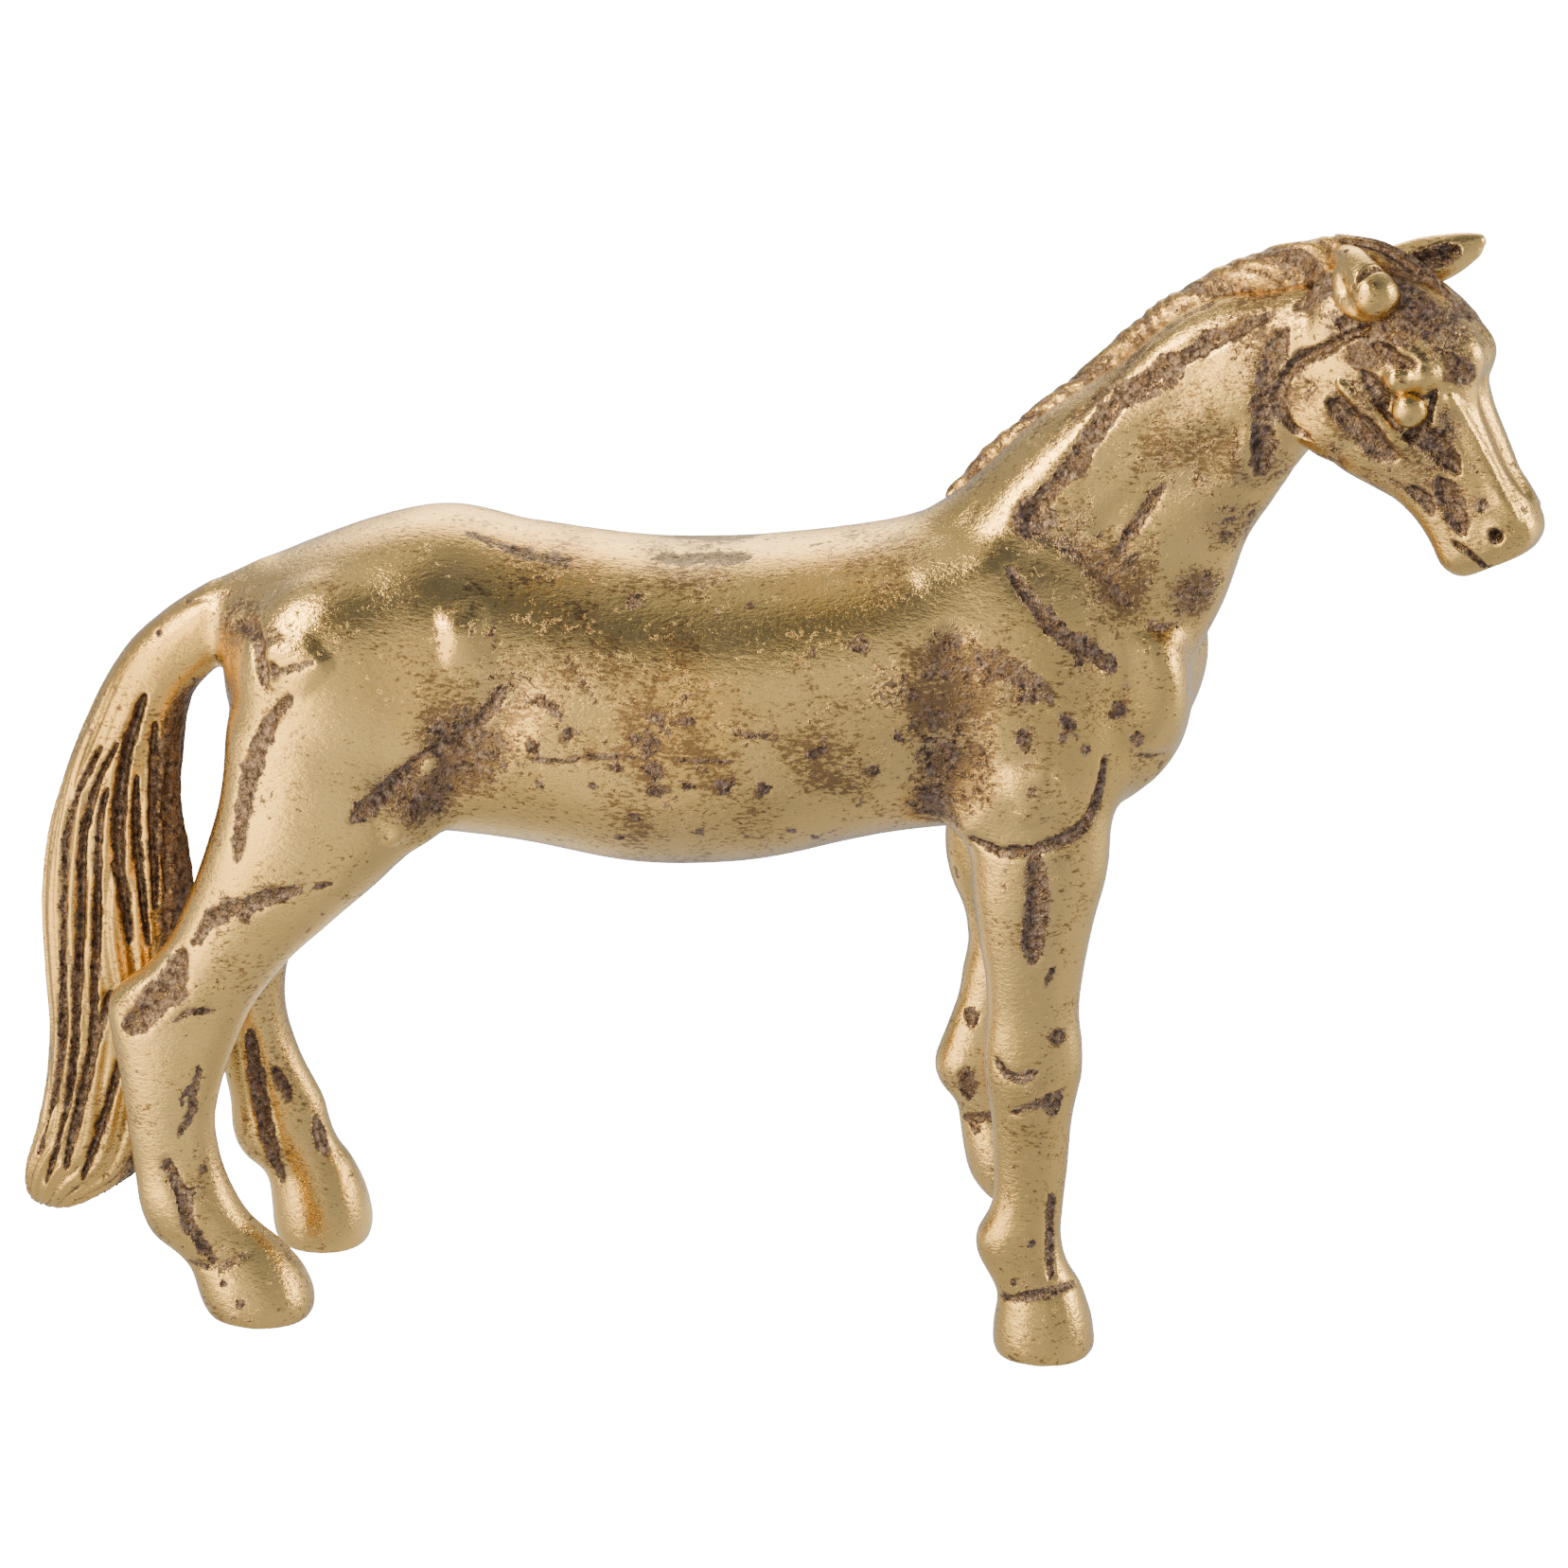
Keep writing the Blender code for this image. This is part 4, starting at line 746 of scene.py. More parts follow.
def combTail(clay):  # hair running the length of the tail, and painted shade on the tail's underside and on its side that faces the buttock
    co = clay["co"]
    x, y, z = co.T
    nearHock = (y < -2.4) & (z < 19)
    hair = np.flatnonzero((x < -24.0) & (np.abs(y) < 2.9) & (z > 2) & (z < 32.5) & ~nearHock)
    along, u, v = aroundTail(co[hair])
    angle = np.arctan2(v, u)
    drift = 0.9 * lumps(np.stack((along * 0.8, angle * 0.8, angle * 0), 1), 1.0, 4)
    wave = np.sin(angle * tailHair["locks"] + drift * 3)
    wave = wave + 0.5 * np.sin(angle * tailHair["strands"] + drift * 5 + along)
    grown = smoothStep(along, 2.5, 7)
    clay["co"][hair] -= clay["no"][hair] * (tailHair["deep"] * grown * (0.4 - wave))[:, None]
    stain = grown * smoothStep(-wave, 0.3, 1.3) * tailHair["stain"]
    clay["patina"][hair] = np.maximum(clay["patina"][hair], stain)
    # Painted shade: the underside of the dock and the side of the tail that faces the buttock are darkened as
    # if shaded in the gap between them
    under = smoothStep(-u, 0.45, 0.9) * smoothStep(along, 1.2, 3.5)
    clay["patina"][hair] = np.maximum(clay["patina"][hair], tailHair["innerShade"] * under)


def weather(clay, patches, head=False):  # stains, pits or warms both sides, softly round each middle
    for middle, size, look in patches:
        for side in (1, -1):
            if head:
                place = turnHead([np.array(middle) * (1, side, 1)])[0]
            else:
                place = np.array(middle) if side == 1 else mirrored([middle])[0]
            away = np.linalg.norm(clay["co"] - place, axis=1) / size
            weight = smoothStep(-away, -1.1, -0.3)
            clay["pitting"] = np.maximum(clay["pitting"], look.get("pits", 0) * weight)
            clay["warmth"] = np.maximum(clay["warmth"], look.get("warm", 0) * weight)
            clay["patina"] = np.maximum(clay["patina"], look.get("dark", 0) * weight)


def sculptHorse(block):
    refine(block)
    clay = clayFrom(block)
    clay["co"] = relax(clay["co"], clay["edges"], softness(clay["co"]), casting["rounds"])
    settle(clay)
    print("horse block evened out,", len(clay["co"]), "points")
    pressAll(clay, bodyForms, ("near", "far"))
    pressAll(clay, faceForms, ("near", "far"), head=True)
    settle(clay)
    combTail(clay)
    pressAll(clay, tailMarks, ("near", "far"))
    pressAll(clay, bodyMarks, ("near", "far"))
    pressAll(clay, legMarks, ("near", "far"))
    pressAll(clay, farLegMarks)
    pressAll(clay, faceMarks, ("near", "far"), head=True)
    for x, y, z, size in spots:
        for point in ([(x, y, z)], mirrored([(x, y, z)])):
            press(clay, point, size, 0.03, 0.85, ragged=0.7)
    weather(clay, weathering)
    weather(clay, faceWeathering, head=True)
    clay["co"] += clay["no"] * (casting["waves"] * lumps(clay["co"], 2.4, 21)
                                + casting["ripples"] * lumps(clay["co"], 0.8, 22)
                                + casting["crust"] * clay["patina"] * lumps(clay["co"], 0.4, 23))[:, None]
    clay["co"] = relax(clay["co"], clay["edges"], np.full(len(clay["co"]), 0.6), 2)
    settle(clay)
    fine = hollows(clay, 5)
    broad = hollows(clay, 45)
    stain = np.maximum(clay["patina"], hollowStain["fine"] * smoothStep(fine, 0.012, 0.05))
    stain = stain + hollowStain["broad"] * smoothStep(broad, 0.03, 0.2)
    stain = stain - hollowStain["rubbed"] * smoothStep(-fine, 0.01, 0.04)
    clay["patina"] = np.clip(stain, 0, hollowStain["fullest"])
    clay["pitting"] = np.maximum(clay["pitting"], leastPits)
    keepMarks(clay)
    print("horse sculpted")
    return clay["obj"]


def partHorse(block):  # cuts the skin at its creases
    bm = bmesh.new()
    bm.from_mesh(block.data)
    for point, normal, low, high in seams.values():
        faces = [f for f in bm.faces if all(low[k] < f.verts[0].co[k] < high[k] for k in range(3))]
        edges = {e for f in faces for e in f.edges}
        verts = {v for f in faces for v in f.verts}
        cut = bmesh.ops.bisect_plane(bm, geom=[*verts, *edges, *faces], dist=1e-4, plane_co=point,
                                     plane_no=Vector(normal).normalized())
        rim = [e for e in cut["geom_cut"] if isinstance(e, bmesh.types.BMEdge)]
        bmesh.ops.split_edges(bm, edges=rim)
    bm.to_mesh(block.data)
    bm.free()
    pickOnly(block)
    bpy.ops.object.mode_set(mode="EDIT")
    bpy.ops.mesh.select_all(action="SELECT")
    bpy.ops.mesh.separate(type="LOOSE")
    bpy.ops.object.mode_set(mode="OBJECT")
    return [o for o in bpy.context.selected_objects]


def closeEnds(piece):
    bm = bmesh.new()
    bm.from_mesh(piece.data)
    bmesh.ops.holes_fill(bm, edges=[e for e in bm.edges if e.is_boundary])
    bmesh.ops.triangulate(bm, faces=[f for f in bm.faces if len(f.verts) > 4])
    bm.to_mesh(piece.data)
    bm.free()


def toFrame():  # the drawing's place in the frame, from the sole of the right fore hoof
    low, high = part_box("right_fore_hoof")
    rows = np.array([(*a, *b, h, m) for a, b, h, m in legs["rightFore"][-5:]])
    fine = alongRows(rows, np.linspace(0, len(rows) - 1, 40))
    x = high.x - fine[:, 2].max() / 1000
    y = (low.y + high.y) / 2 - rows[-1, 5] / 1000
    return Matrix.Translation((x, y, 0)) @ Matrix.Scale(0.001, 4)


def setDown(piece, stand):  # to metres, at its place in the frame, with the normals it was sculpted with
    mesh = piece.data
    mesh.transform(stand)
    mesh.shade_smooth()
    normal = np.empty(len(mesh.vertices) * 3, np.float32)
    mesh.attributes["castNormal"].data.foreach_get("vector", normal)
    mesh.normals_split_custom_set_from_vertices(normal.reshape(-1, 3).tolist())
    mesh.attributes.remove(mesh.attributes["castNormal"])


# An ear is strings of beads, each a middle and a radius, melted together and then marked
ears = {
    "near": {
        "strings": [
            [((23.5, -0.4, 47.8), 0.65), ((24.2, -1.2, 47.8), 0.7), ((24.9, -1.9, 47.5), 0.78),
             ((25.6, -2.35, 46.95), 0.98)],
            [((24.0, -1.4, 47.3), 0.66), ((24.1, -1.75, 46.6), 0.55), ((24.8, -2.15, 46.3), 0.58),
             ((25.6, -2.3, 46.4), 0.6)],
        ],
        "marks": [
            ([(25.1, -2.7, 47.5), (25.35, -2.5, 47.9), (25.7, -2.0, 48.0), (26.1, -1.5, 47.9)],
             0.3, 0.36, 1.0, {"ragged": 0.1}),
            ([(24.9, -2.7, 47.3), (24.85, -2.7, 46.9), (25.1, -2.9, 46.5)], 0.16, 0.1, 0.55, {"ragged": 0.2}),
            ([(23.9, -1.3, 48.2), (24.1, -1.4, 48.1)], 0.2, 0.05, 0.8, {"ragged": 0.6}),
        ],
    },
    "far": {
        "strings": [
            [((25.0, 1.2, 46.9), 0.9), ((26.0, 1.6, 47.35), 1.0), ((27.0, 2.0, 47.75), 0.86),
             ((27.9, 2.3, 48.1), 0.5)],
            [((24.6, 1.1, 47.4), 0.6), ((26.0, 1.7, 47.9), 0.6), ((27.4, 2.1, 48.25), 0.5),
             ((28.15, 2.4, 48.4), 0.36)],
        ],
        "marks": [
            ([(25.6, 0.6, 47.5), (26.6, 1.0, 47.85), (27.4, 1.6, 48.05)], 0.62, 0.45, 1.0,
             {"ragged": 0.1, "ends": 0.6}),
            ([(25.4, 0.5, 47.0), (26.0, 0.7, 47.2)], 0.6, 0.2, 1.0, {"ragged": 0.3}),
        ],
    },
    "grain": 0.07, "rounds": 14, "rubbed": 0.25,
}


def evenedClay(bm, name, grain, rounds):
    block = blockOf(bm, name)
    melt(block, grain)
    clay = clayFrom(block)
    clay["co"] = relax(clay["co"], clay["edges"], np.ones(len(clay["co"])), rounds)
    settle(clay)
    return clay


def finishClay(clay, rubbed):  # stains the hollows, rubs the high places and keeps the marks
    clay["co"] = relax(clay["co"], clay["edges"], np.full(len(clay["co"]), 0.6), 2)
    settle(clay)
    fine = hollows(clay, 8)
    stain = np.maximum(clay["patina"], hollowStain["fine"] * smoothStep(fine, 0.01, 0.04))
    stain = stain - rubbed * smoothStep(-fine, 0.008, 0.03)
    clay["patina"] = np.clip(stain, 0, hollowStain["fullest"])
    clay["pitting"] = np.maximum(clay["pitting"], leastPits)
    keepMarks(clay)
    return clay["obj"]


def modelEar(side):
    bm = bmesh.new()
    for beads in ears[side]["strings"]:
        chain(bm, beads)
    clay = evenedClay(bm, side + "Ear", ears["grain"], ears["rounds"])
    pressAll(clay, ears[side]["marks"], head=True)
    return finishClay(clay, ears["rubbed"])


eyes = {"middle": (27.15, 2.15, 42.35), "radius": 0.78, "rubbed": 0.2}


def modelEye(name, side):
    x, y, z = eyes["middle"]
    pickNothing()
    place = turnHead([(x, side * y, z)])[0]
    bpy.ops.mesh.primitive_uv_sphere_add(segments=48, ring_count=32, radius=eyes["radius"], location=place)
    eye = bpy.context.object
    eye.name = name
    bpy.ops.object.transform_apply(location=True, rotation=True, scale=True)
    return finishClay(clayFrom(eye), eyes["rubbed"])


mane = {
    "sections": [
        ((7.2, 35.4), (6.5, 36.3), 0.5, 1.3),
        ((8.9, 36.0), (8.1, 38.2), 0.75, 1.5),
        ((10.9, 37.3), (10.3, 40.2), 0.9, 1.5),
        ((13.0, 39.0), (12.6, 42.2), 1.0, 1.4),
        ((15.4, 41.2), (14.9, 44.5), 1.1, 1.3),
        ((18.3, 43.0), (17.6, 46.4), 1.1, 1.1),
        ((20.8, 44.4), (20.3, 47.8), 1.1, 0.8),
        ((23.0, 44.8), (22.9, 48.5), 0.85, 0.5),
    ],
    "grain": 0.11, "rounds": 10, "deep": 0.1, "hair": 0.03, "pitch": 1.0, "stain": 0.26, "pits": 0.8,
}
forelock = {
    "sections": [
        ((23.2, 46.9), (22.8, 48.7), 0.7, 0),
        ((24.6, 46.6), (24.8, 48.6), 0.85, 0),
        ((25.8, 45.7), (26.7, 47.8), 0.85, 0),
        ((27.0, 44.6), (28.1, 46.5), 0.7, 0),
        ((28.0, 43.9), (28.9, 45.2), 0.35, 0),
    ],
    "marks": [
        ([(23.4, -0.5, 48.6), (24.8, -0.45, 48.5), (26.4, -0.5, 47.7), (27.8, -0.4, 46.3),
          (28.6, -0.1, 45.0)], 0.28, 0.2, 1.0),
        ([(23.4, 0.1, 48.7), (25.0, 0.05, 48.7), (26.6, 0.0, 47.8), (28.0, 0.1, 46.4)], 0.26, 0.2, 1.0),
        ([(23.4, 0.6, 48.5), (24.8, 0.6, 48.5), (26.3, 0.6, 47.6), (27.6, 0.5, 46.4)], 0.26, 0.2, 1.0),
    ],
    "grain": 0.09, "rounds": 8, "stain": 0.35, "pits": 1.0,
}
hairRubbed = 0.3


def modelMane():
    bm = bmesh.new()
    loft(bm, mane["sections"], sides=64, steps=24, place=bendNeck)
    clay = evenedClay(bm, "mane", mane["grain"], mane["rounds"])
    co = clay["co"]
    lean = co[:, 0] * 0.75 + co[:, 2] * 0.66
    phase = lean * mane["pitch"] + 0.8 * (co[:, 1] - neckShift(co[:, 0])) + 1.2 * lumps(co, 2.0, 8)
    lock = np.abs(np.sin(phase))
    clay["co"] -= clay["no"] * (mane["deep"] * (1 - lock) ** 1.5)[:, None]
    hair = np.sin(phase * 7 + lumps(co, 1.2, 9))
    clay["co"] -= clay["no"] * (mane["hair"] * (1 - hair))[:, None]
    between = 0.55 * smoothStep(1 - lock, 0.45, 0.95)
    clay["patina"] = mane["stain"] + between + 0.25 * smoothStep(-hair, 0.2, 1)
    clay["pitting"][:] = mane["pits"]
    return finishClay(clay, hairRubbed)


def modelForelock():
    bm = bmesh.new()
    loft(bm, forelock["sections"], sides=48, steps=16, place=turnHead)
    clay = evenedClay(bm, "forelock", forelock["grain"], forelock["rounds"])
    pressAll(clay, forelock["marks"], head=True)
    stain = forelock["stain"] + 0.5 * smoothStep(clay["co"][:, 0], 24.5, 26.5)
    clay["patina"] = np.maximum(clay["patina"], stain)
    clay["pitting"][:] = forelock["pits"]
    return finishClay(clay, hairRubbed)


def addNode(tree, kind, **settings):
    made = tree.nodes.new(kind)
    for key, value in settings.items():
        if key in made.inputs:
            made.inputs[key].default_value = value
        else:
            setattr(made, key, value)
    return made


def newGroup(name, inputs, outputs):
    tree = bpy.data.node_groups.new(name, "ShaderNodeTree")
    for label, value in inputs.items():
        socket = tree.interface.new_socket(label, in_out="INPUT", socket_type="NodeSocketFloat")
        socket.default_value = value
    for label in outputs:
        tree.interface.new_socket(label, in_out="OUTPUT", socket_type="NodeSocketFloat")
    return tree, tree.nodes.new("NodeGroupInput"), tree.nodes.new("NodeGroupOutput")


def sums(tree, operation, a, b, c=None, clamp=False):
    made = tree.nodes.new("ShaderNodeMath")
    made.operation = operation
    made.use_clamp = clamp
    for socket, value in zip(made.inputs, (a, b, c)):
        if value is None:
            continue
        if isinstance(value, (int, float)):
            socket.default_value = value
        else:
            tree.links.new(value, socket)
    return made.outputs[0]


def softEdge(tree, value, low, high, start=0.0, end=1.0):
    made = tree.nodes.new("ShaderNodeMapRange")
    made.interpolation_type = "SMOOTHSTEP"
    tree.links.new(value, made.inputs["Value"])
    for label, number in (("From Min", low), ("From Max", high), ("To Min", start), ("To Max", end)):
        made.inputs[label].default_value = number
    return made.outputs["Result"]


def grainNoise(tree, scale, detail=3.0, rough=0.55, stretch=None, spin=(0, 0, 0)):
    where = tree.nodes.new("ShaderNodeTexCoord").outputs["Object"]
    if stretch:
        mapping = addNode(tree, "ShaderNodeMapping", Rotation=spin, Scale=stretch)
        tree.links.new(where, mapping.inputs["Vector"])
        where = mapping.outputs["Vector"]
    made = addNode(tree, "ShaderNodeTexNoise", Detail=detail, Roughness=rough)
    tree.links.new(where, made.inputs["Vector"])
    if isinstance(scale, (int, float)):
        made.inputs["Scale"].default_value = scale
    else:
        tree.links.new(scale, made.inputs["Scale"])
    return made.outputs["Fac"]


def stainGroup():  # turns a soft stain into one with a broken, grainy edge
    tree, into, out = newGroup("brokenStain", {"Amount": 0, "Ragged": 0.5, "Size": 2400}, ["Mask"])
    coarse = grainNoise(tree, into.outputs["Size"], 4)
    fine = grainNoise(tree, sums(tree, "MULTIPLY", into.outputs["Size"], 4.3), 3)
    both = sums(tree, "ADD", coarse, sums(tree, "MULTIPLY", fine, 0.8))
    both = sums(tree, "SUBTRACT", both, 0.9)
    value = sums(tree, "MULTIPLY_ADD", both, into.outputs["Ragged"], into.outputs["Amount"])
    tree.links.new(softEdge(tree, value, 0.42, 0.66), out.inputs["Mask"])
    return tree


def grimeGroup():  # dark left in the fine scuffs: short crossing strokes, thicker where the amount is high
    tree, into, out = newGroup("scuffGrime", {"Amount": 0.3, "Size": 1.0}, ["Mask", "Height"])
    drift = grainNoise(tree, sums(tree, "MULTIPLY", into.outputs["Size"], 420), 3)
    lines = None
    for spin, stretch in (((0, 0.6, 0), (2600, 5200, 6200)), ((0, -0.5, 0.2), (2700, 5600, 6400)),
                          ((0.2, 1.4, 0.4), (2600, 5200, 6000))):
        one = grainNoise(tree, into.outputs["Size"], 3, 0.6, stretch=stretch, spin=spin)
        lines = one if lines is None else sums(tree, "MAXIMUM", lines, one)
    tree.links.new(lines, out.inputs["Height"])
    value = sums(tree, "MULTIPLY_ADD", into.outputs["Amount"], 0.16, lines)
    value = sums(tree, "MULTIPLY_ADD", sums(tree, "SUBTRACT", drift, 0.5), 0.5, value)
    tree.links.new(softEdge(tree, value, 0.66, 0.78), out.inputs["Mask"])
    return tree


def pitGroup():  # small dark pits, more of them where the amount is high
    tree, into, out = newGroup("castPits", {"Amount": 0.3, "Size": 2600}, ["Mask"])
    cover = grainNoise(tree, sums(tree, "MULTIPLY", into.outputs["Size"], 0.22), 3)
    grain = grainNoise(tree, into.outputs["Size"], 5, 0.7)
    value = sums(tree, "MULTIPLY_ADD", sums(tree, "SUBTRACT", cover, 0.5), 0.55, grain)
    value = sums(tree, "MULTIPLY_ADD", into.outputs["Amount"], 0.16, value)
    tree.links.new(softEdge(tree, value, 0.69, 0.76), out.inputs["Mask"])
    return tree


def cloudGroup():  # slow drifts of tone in the metal
    tree, into, out = newGroup("metalClouds", {"Size": 160}, ["Tone", "Fleck"])
    slow = grainNoise(tree, into.outputs["Size"], 4, 0.6)
    tree.links.new(softEdge(tree, slow, 0.3, 0.7), out.inputs["Tone"])
    fleck = grainNoise(tree, sums(tree, "MULTIPLY", into.outputs["Size"], 24), 3, 0.65)
    tree.links.new(softEdge(tree, fleck, 0.35, 0.7), out.inputs["Fleck"])
    return tree


finishGroups = {"stain": stainGroup(), "pits": pitGroup(), "grime": grimeGroup(), "clouds": cloudGroup()}


def placeGroup(tree, key, **values):
    made = tree.nodes.new("ShaderNodeGroup")
    made.node_tree = finishGroups[key]
    for label, value in values.items():
        made.inputs[label].default_value = value
    return made


def mixColour(tree, factor, a, b):
    made = addNode(tree, "ShaderNodeMix", data_type="RGBA")
    tree.links.new(factor, made.inputs["Factor"])
    for socket, value in ((made.inputs[6], a), (made.inputs[7], b)):
        if isinstance(value, tuple):
            socket.default_value = (*value, 1)
        else:
            tree.links.new(value, socket)
    return made.outputs[2]


def brassMaterial(name, look):
    made = bpy.data.materials.new(name)
    made.use_nodes = True
    tree = made.node_tree
    shader = tree.nodes["Principled BSDF"]
    marks = {}
    for label in ("patina", "pitting", "warmth"):
        marks[label] = addNode(tree, "ShaderNodeAttribute", attribute_name=label).outputs["Fac"]
    clouds = placeGroup(tree, "clouds", Size=look["clouds"])
    stain = placeGroup(tree, "stain", Ragged=look["ragged"], Size=look["stainSize"])
    covered = sums(tree, "MINIMUM", marks["patina"], look["fullest"])
    tree.links.new(covered, stain.inputs["Amount"])
    pits = placeGroup(tree, "pits", Size=look["pitSize"])
    tree.links.new(marks["pitting"], pits.inputs["Amount"])
    grime = placeGroup(tree, "grime")
    grimy = sums(tree, "MULTIPLY_ADD", marks["patina"], 1.3, marks["pitting"])
    tree.links.new(grimy, grime.inputs["Amount"])
    dark = sums(tree, "MAXIMUM", stain.outputs["Mask"], sums(tree, "MULTIPLY", pits.outputs["Mask"], 0.85))
    metal = mixColour(tree, clouds.outputs["Tone"], look["bright"], look["deep"])
    flecks = softEdge(tree, clouds.outputs["Fleck"], 0.1, 0.9, 0.3, 0.9)
    tinted = sums(tree, "MULTIPLY", marks["warmth"], flecks)
    metal = mixColour(tree, tinted, metal, look["warm"])
    scuffed = sums(tree, "MULTIPLY", grime.outputs["Mask"], look["grime"])
    metal = mixColour(tree, softEdge(tree, marks["patina"], 0.1, 0.8, 0, look["haze"]), metal, look["hazed"])
    metal = mixColour(tree, scuffed, metal, look["scuff"])
    crust = mixColour(tree, clouds.outputs["Fleck"], look["stain"], look["dust"])
    tree.links.new(mixColour(tree, dark, metal, crust), shader.inputs["Base Color"])
    rough = sums(tree, "MULTIPLY_ADD", clouds.outputs["Fleck"], look["roughDrift"], look["rough"])
    rough = sums(tree, "MULTIPLY_ADD", scuffed, 0.14, rough)
    rough = sums(tree, "MULTIPLY_ADD", dark, look["stainRough"] - look["rough"], rough)
    tree.links.new(rough, shader.inputs["Roughness"])
    tree.links.new(softEdge(tree, dark, 0, 1, 1, look["stainMetal"]), shader.inputs["Metallic"])
    height = sums(tree, "MULTIPLY", grime.outputs["Height"], -look["scuffs"])
    height = sums(tree, "MULTIPLY_ADD", clouds.outputs["Fleck"], look["hammer"], height)
    height = sums(tree, "MULTIPLY_ADD", dark, -0.8, height)
    rubble = grainNoise(tree, 5200, 3, 0.6)
    height = sums(tree, "MULTIPLY_ADD", sums(tree, "MULTIPLY", rubble, dark), look["crust"], height)
    bump = addNode(tree, "ShaderNodeBump", Strength=look["bump"], Distance=0.00006)
    tree.links.new(height, bump.inputs["Height"])
    tree.links.new(bump.outputs["Normal"], shader.inputs["Normal"])
    return made


polishedLook = {
    "bright": (0.79, 0.525, 0.18), "deep": (0.66, 0.44, 0.14), "warm": (0.75, 0.41, 0.085),
    "hazed": (0.27, 0.2, 0.155), "haze": 0.8, "scuff": (0.17, 0.10, 0.055),
    "stain": (0.055, 0.036, 0.029), "dust": (0.30, 0.215, 0.17), "fullest": 0.68,
    "clouds": 150, "ragged": 1.6, "stainSize": 2300, "pitSize": 2800,
    "rough": 0.125, "roughDrift": 0.07, "stainRough": 0.26, "stainMetal": 0.9, "grime": 0.85, "scuffs": 1.5,
    "hammer": 0.15, "crust": 4.0, "bump": 0.5,
}
agedLook = {**polishedLook, "bright": (0.76, 0.49, 0.15), "deep": (0.60, 0.38, 0.11), "rough": 0.2}
polished = brassMaterial("polishedBrass", polishedLook)
aged = brassMaterial("agedBrass", agedLook)
print("finishes ready")


def nearestNode(piece):  # the frame's piece whose middle is closest
    middle = np.array([v.co for v in piece.data.vertices])
    middle = (middle.min(0) + middle.max(0)) / 2
    names = ("body", "head", "tail", "right_foreleg", "left_foreleg", "right_hindleg", "left_hindleg",
             "right_fore_hoof", "left_fore_hoof", "right_hind_hoof", "left_hind_hoof")
    boxes = {name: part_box(name) for name in names}
    return min(names, key=lambda n: np.linalg.norm(middle - np.array((boxes[n][0] + boxes[n][1]) / 2)))


def dress(piece, node, material):
    piece.name = piece.data.name = node + "Cast"
    piece.data.materials.clear()
    piece.data.materials.append(material)
    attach(piece, "root")
    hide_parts(node)


stand = toFrame()
for part in partHorse(sculptHorse(blockOut())):
    if len(part.data.polygons) < casting["crumb"]:  # a loose crumb
        bpy.data.objects.remove(part)
        continue
    closeEnds(part)
    setDown(part, stand)
    node = nearestNode(part)
    isTail = node == "tail"
    dress(part, node, aged if isTail else polished)
    print(node, sum(len(p.vertices) - 2 for p in part.data.polygons), "triangles")

extras = [
    (modelEar("near"), "right_ear", polished, "polished_brass"),
    (modelEar("far"), "left_ear", polished, "polished_brass"),
    (modelEye("nearEye", -1), "right_eye", polished, "polished_brass"),
    (modelEye("farEye", 1), "left_eye", polished, "polished_brass"),
    (modelMane(), "mane", aged, "antiqued_brass"),
    (modelForelock(), "forelock", aged, "antiqued_brass"),
]
for piece, node, material, slot in extras:
    setDown(piece, stand)
    dress(piece, node, material)
print("ears, eyes and hair placed")


# cool, plain and warm are the colours of dim, middling and bright light
stage = {
    "floorSize": 4.0, "floorTone": 0.1, "seenGlow": 17.0, "base": 0.6, "dimmest": 0.2,
    "cool": (0.88, 1.0, 1.45), "plain": (1, 0.97, 0.88), "warm": (1, 0.82, 0.46),
}
# Glows and shades around the horse: turn from the camera's side, with right positive, height, inner and
# outer half angle, all in degrees, and how much light each adds
glows = [
    (-30, 58, 12, 36, -0.36),
    (40, 70, 10, 40, -0.26),
    (20, -30, 6, 36, -0.16),
    (-19, -58, 8, 28, -0.16),
    (-18, 13, 4, 24, 0.45),
    (-32, -28, 5, 24, 0.36),
    (180, 25, 10, 24, 6.0),
    (180, -22, 10, 34, -0.32),
    (-132, -42, 5, 24, 0.6),
    (-66, 0, 10, 34, 4.0),
    (-46, 12, 5, 16, 3.6),
    (98, 8, 10, 30, 1.2),
    (-110, 62, 6, 26, 0.35),
]
softBoxes = [  # turn, height, distance, width and brightness
    (-76, 38, 0.55, 0.24, 22.0),
    (84, 18, 0.60, 0.28, 13.0),
]
view = {"azimuth": 8, "elevation": 18, "distance": 0.3, "lens": 162.95, "aim": (0, 0, 23.6)}


def towards(turned, height):  # a direction, turned from the camera's side
    around, up = math.radians(view["azimuth"] + turned), math.radians(height)
    return Vector((math.sin(around) * math.cos(up), -math.cos(around) * math.cos(up), math.sin(up)))


def surroundLight(tree, direction):  # how bright the studio is in a direction
    light = stage["base"]
    for turned, height, inner, outer, brightness in glows:
        facing = addNode(tree, "ShaderNodeVectorMath", operation="DOT_PRODUCT")
        tree.links.new(direction, facing.inputs[0])
        facing.inputs[1].default_value = towards(turned, height)
        edge = math.cos(math.radians(outer))
        core = math.cos(math.radians(inner))
        glow = softEdge(tree, facing.outputs["Value"], edge, core)
        light = sums(tree, "MULTIPLY_ADD", glow, brightness, light)
    light = sums(tree, "MAXIMUM", light, stage["dimmest"])
    seen = tree.nodes.new("ShaderNodeLightPath").outputs["Is Camera Ray"]
    tint = mixColour(tree, softEdge(tree, light, 0.22, 0.8), stage["cool"], stage["plain"])
    tint = mixColour(tree, softEdge(tree, light, 0.8, 3.0), tint, stage["warm"])
    tint = mixColour(tree, seen, tint, (1, 1, 1))
    return sums(tree, "MULTIPLY_ADD", seen, stage["seenGlow"], light), tint


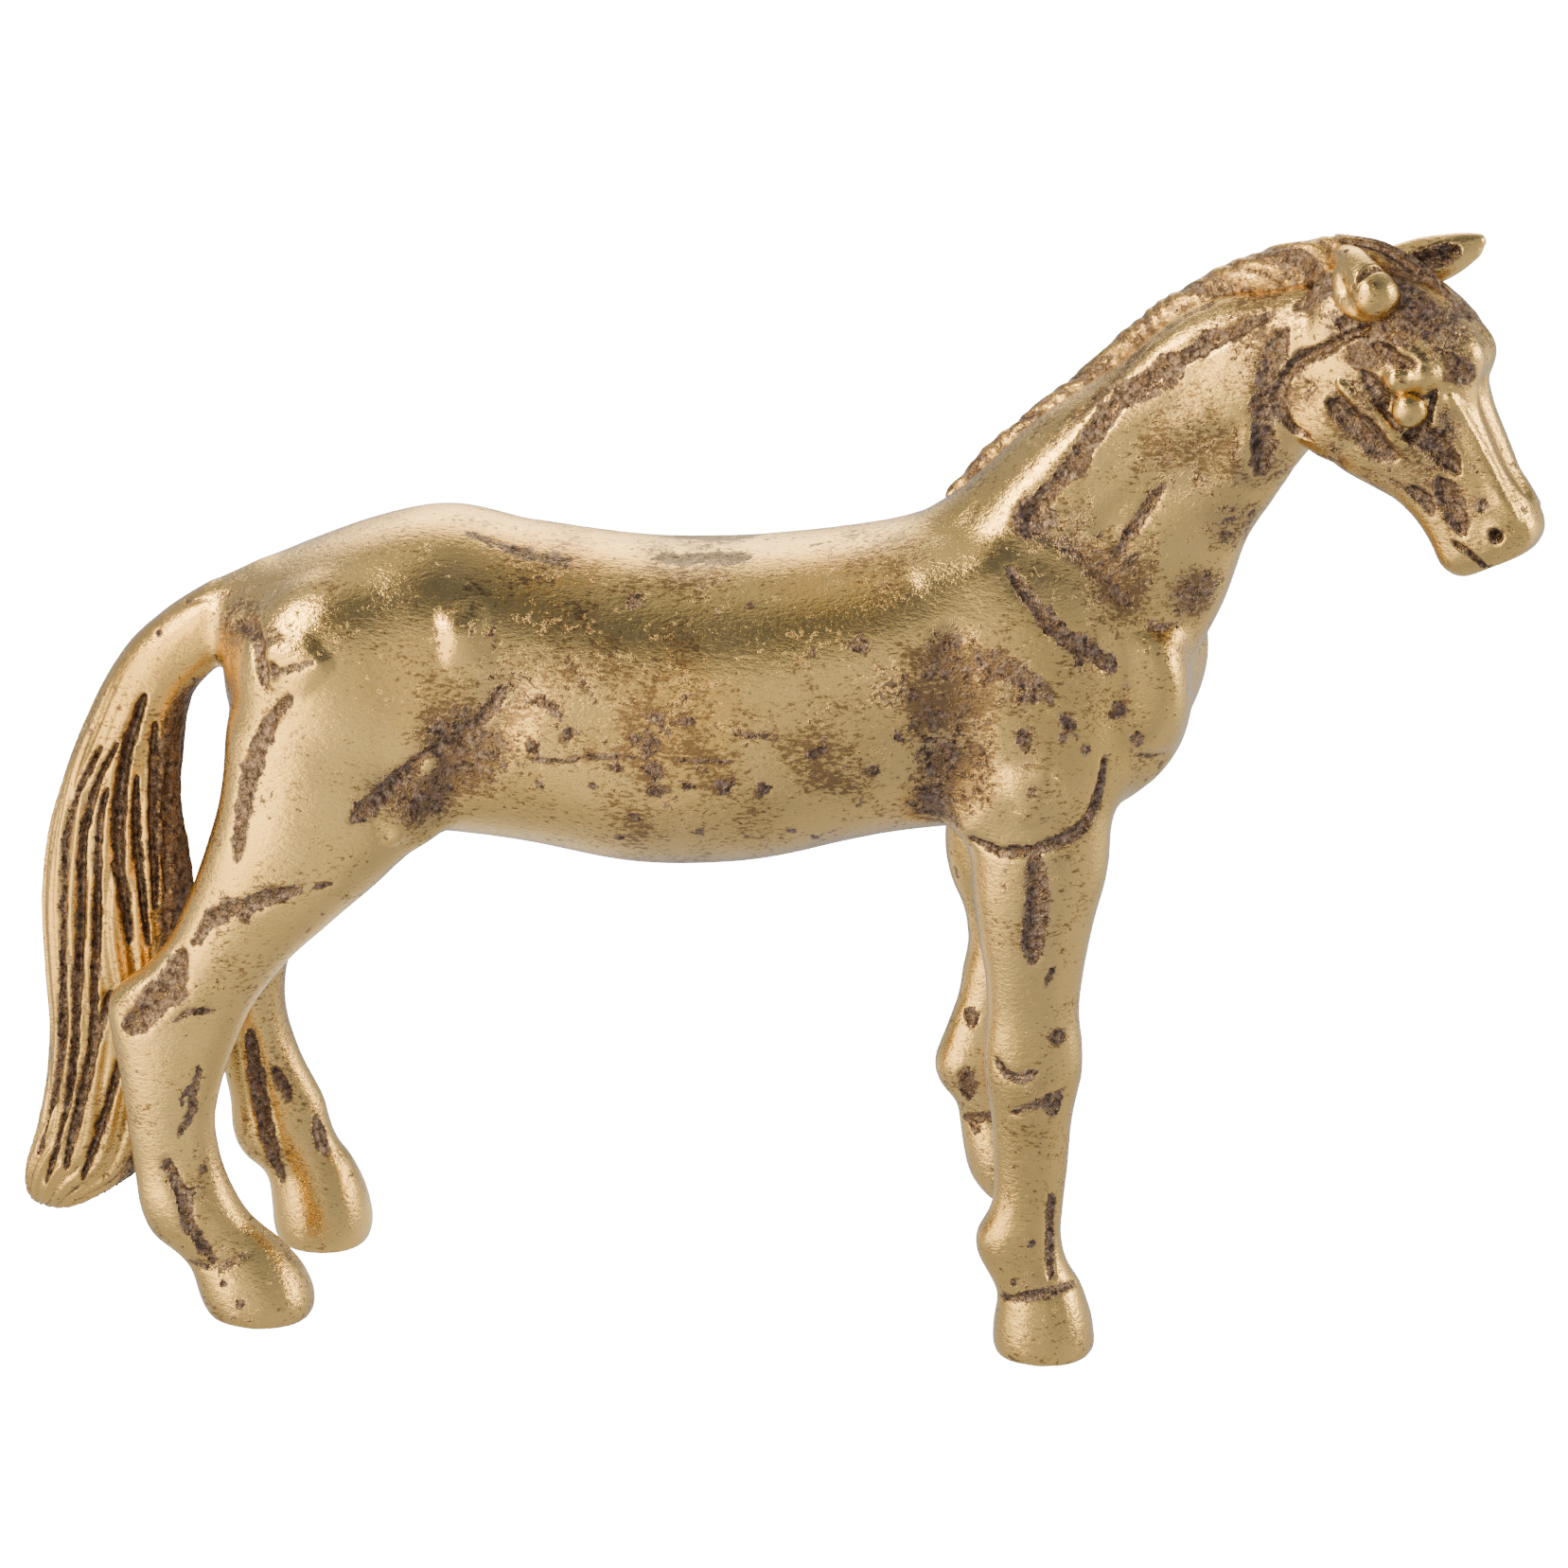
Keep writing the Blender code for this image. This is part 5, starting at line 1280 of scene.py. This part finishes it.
def modelFloor():
    pickNothing()
    bpy.ops.mesh.primitive_plane_add(size=stage["floorSize"], location=(0, 0, 0))
    floor = bpy.context.object
    floor.name = "floor"
    made = bpy.data.materials.new("paleFloor")
    made.use_nodes = True
    tree = made.node_tree
    shader = tree.nodes["Principled BSDF"]
    shader.inputs["Base Color"].default_value = (*[stage["floorTone"]] * 3, 1)
    shader.inputs["Roughness"].default_value = 0.9
    fromHorse = addNode(tree, "ShaderNodeVectorMath", operation="SUBTRACT")
    tree.links.new(tree.nodes.new("ShaderNodeTexCoord").outputs["Object"], fromHorse.inputs[0])
    fromHorse.inputs[1].default_value = (0, 0, 0.022)
    direction = addNode(tree, "ShaderNodeVectorMath", operation="NORMALIZE")
    tree.links.new(fromHorse.outputs["Vector"], direction.inputs[0])
    light, tint = surroundLight(tree, direction.outputs["Vector"])
    tree.links.new(light, shader.inputs["Emission Strength"])
    tree.links.new(tint, shader.inputs["Emission Color"])
    floor.data.materials.append(made)


def lightWorld():
    world = bpy.data.worlds.new("studio")
    bpy.context.scene.world = world
    world.use_nodes = True
    tree = world.node_tree
    sky = tree.nodes["Background"]
    where = tree.nodes.new("ShaderNodeTexCoord").outputs["Generated"]
    light, tint = surroundLight(tree, where)
    tree.links.new(light, sky.inputs["Strength"])
    tree.links.new(tint, sky.inputs["Color"])


def addSoftBoxes():
    for k, (turned, height, distance, wide, brightness) in enumerate(softBoxes):
        data = bpy.data.lights.new(f"softBox{k + 1}", "AREA")
        data.shape = "DISK"
        data.size = wide
        data.color = stage["warm"]
        data.energy = brightness * math.pi * math.pi * (wide / 2) ** 2
        lamp = bpy.data.objects.new(data.name, data)
        bpy.context.collection.objects.link(lamp)
        back = towards(turned, height)
        lamp.location = back * distance + Vector((0, 0, 0.025))
        lamp.rotation_euler = back.to_track_quat("Z", "Y").to_euler()


def addCamera():
    back = towards(0, view["elevation"])
    data = bpy.data.cameras.new("camera")
    data.sensor_width = 36
    data.lens = view["lens"]
    data.clip_start = 0.01
    camera = bpy.data.objects.new("camera", data)
    bpy.context.collection.objects.link(camera)
    camera.location = stand @ Vector(view["aim"]) + back * view["distance"]
    camera.rotation_euler = back.to_track_quat("Z", "Y").to_euler()
    bpy.context.scene.camera = camera


modelFloor()
lightWorld()
addSoftBoxes()
addCamera()
print("floor, light and camera ready")
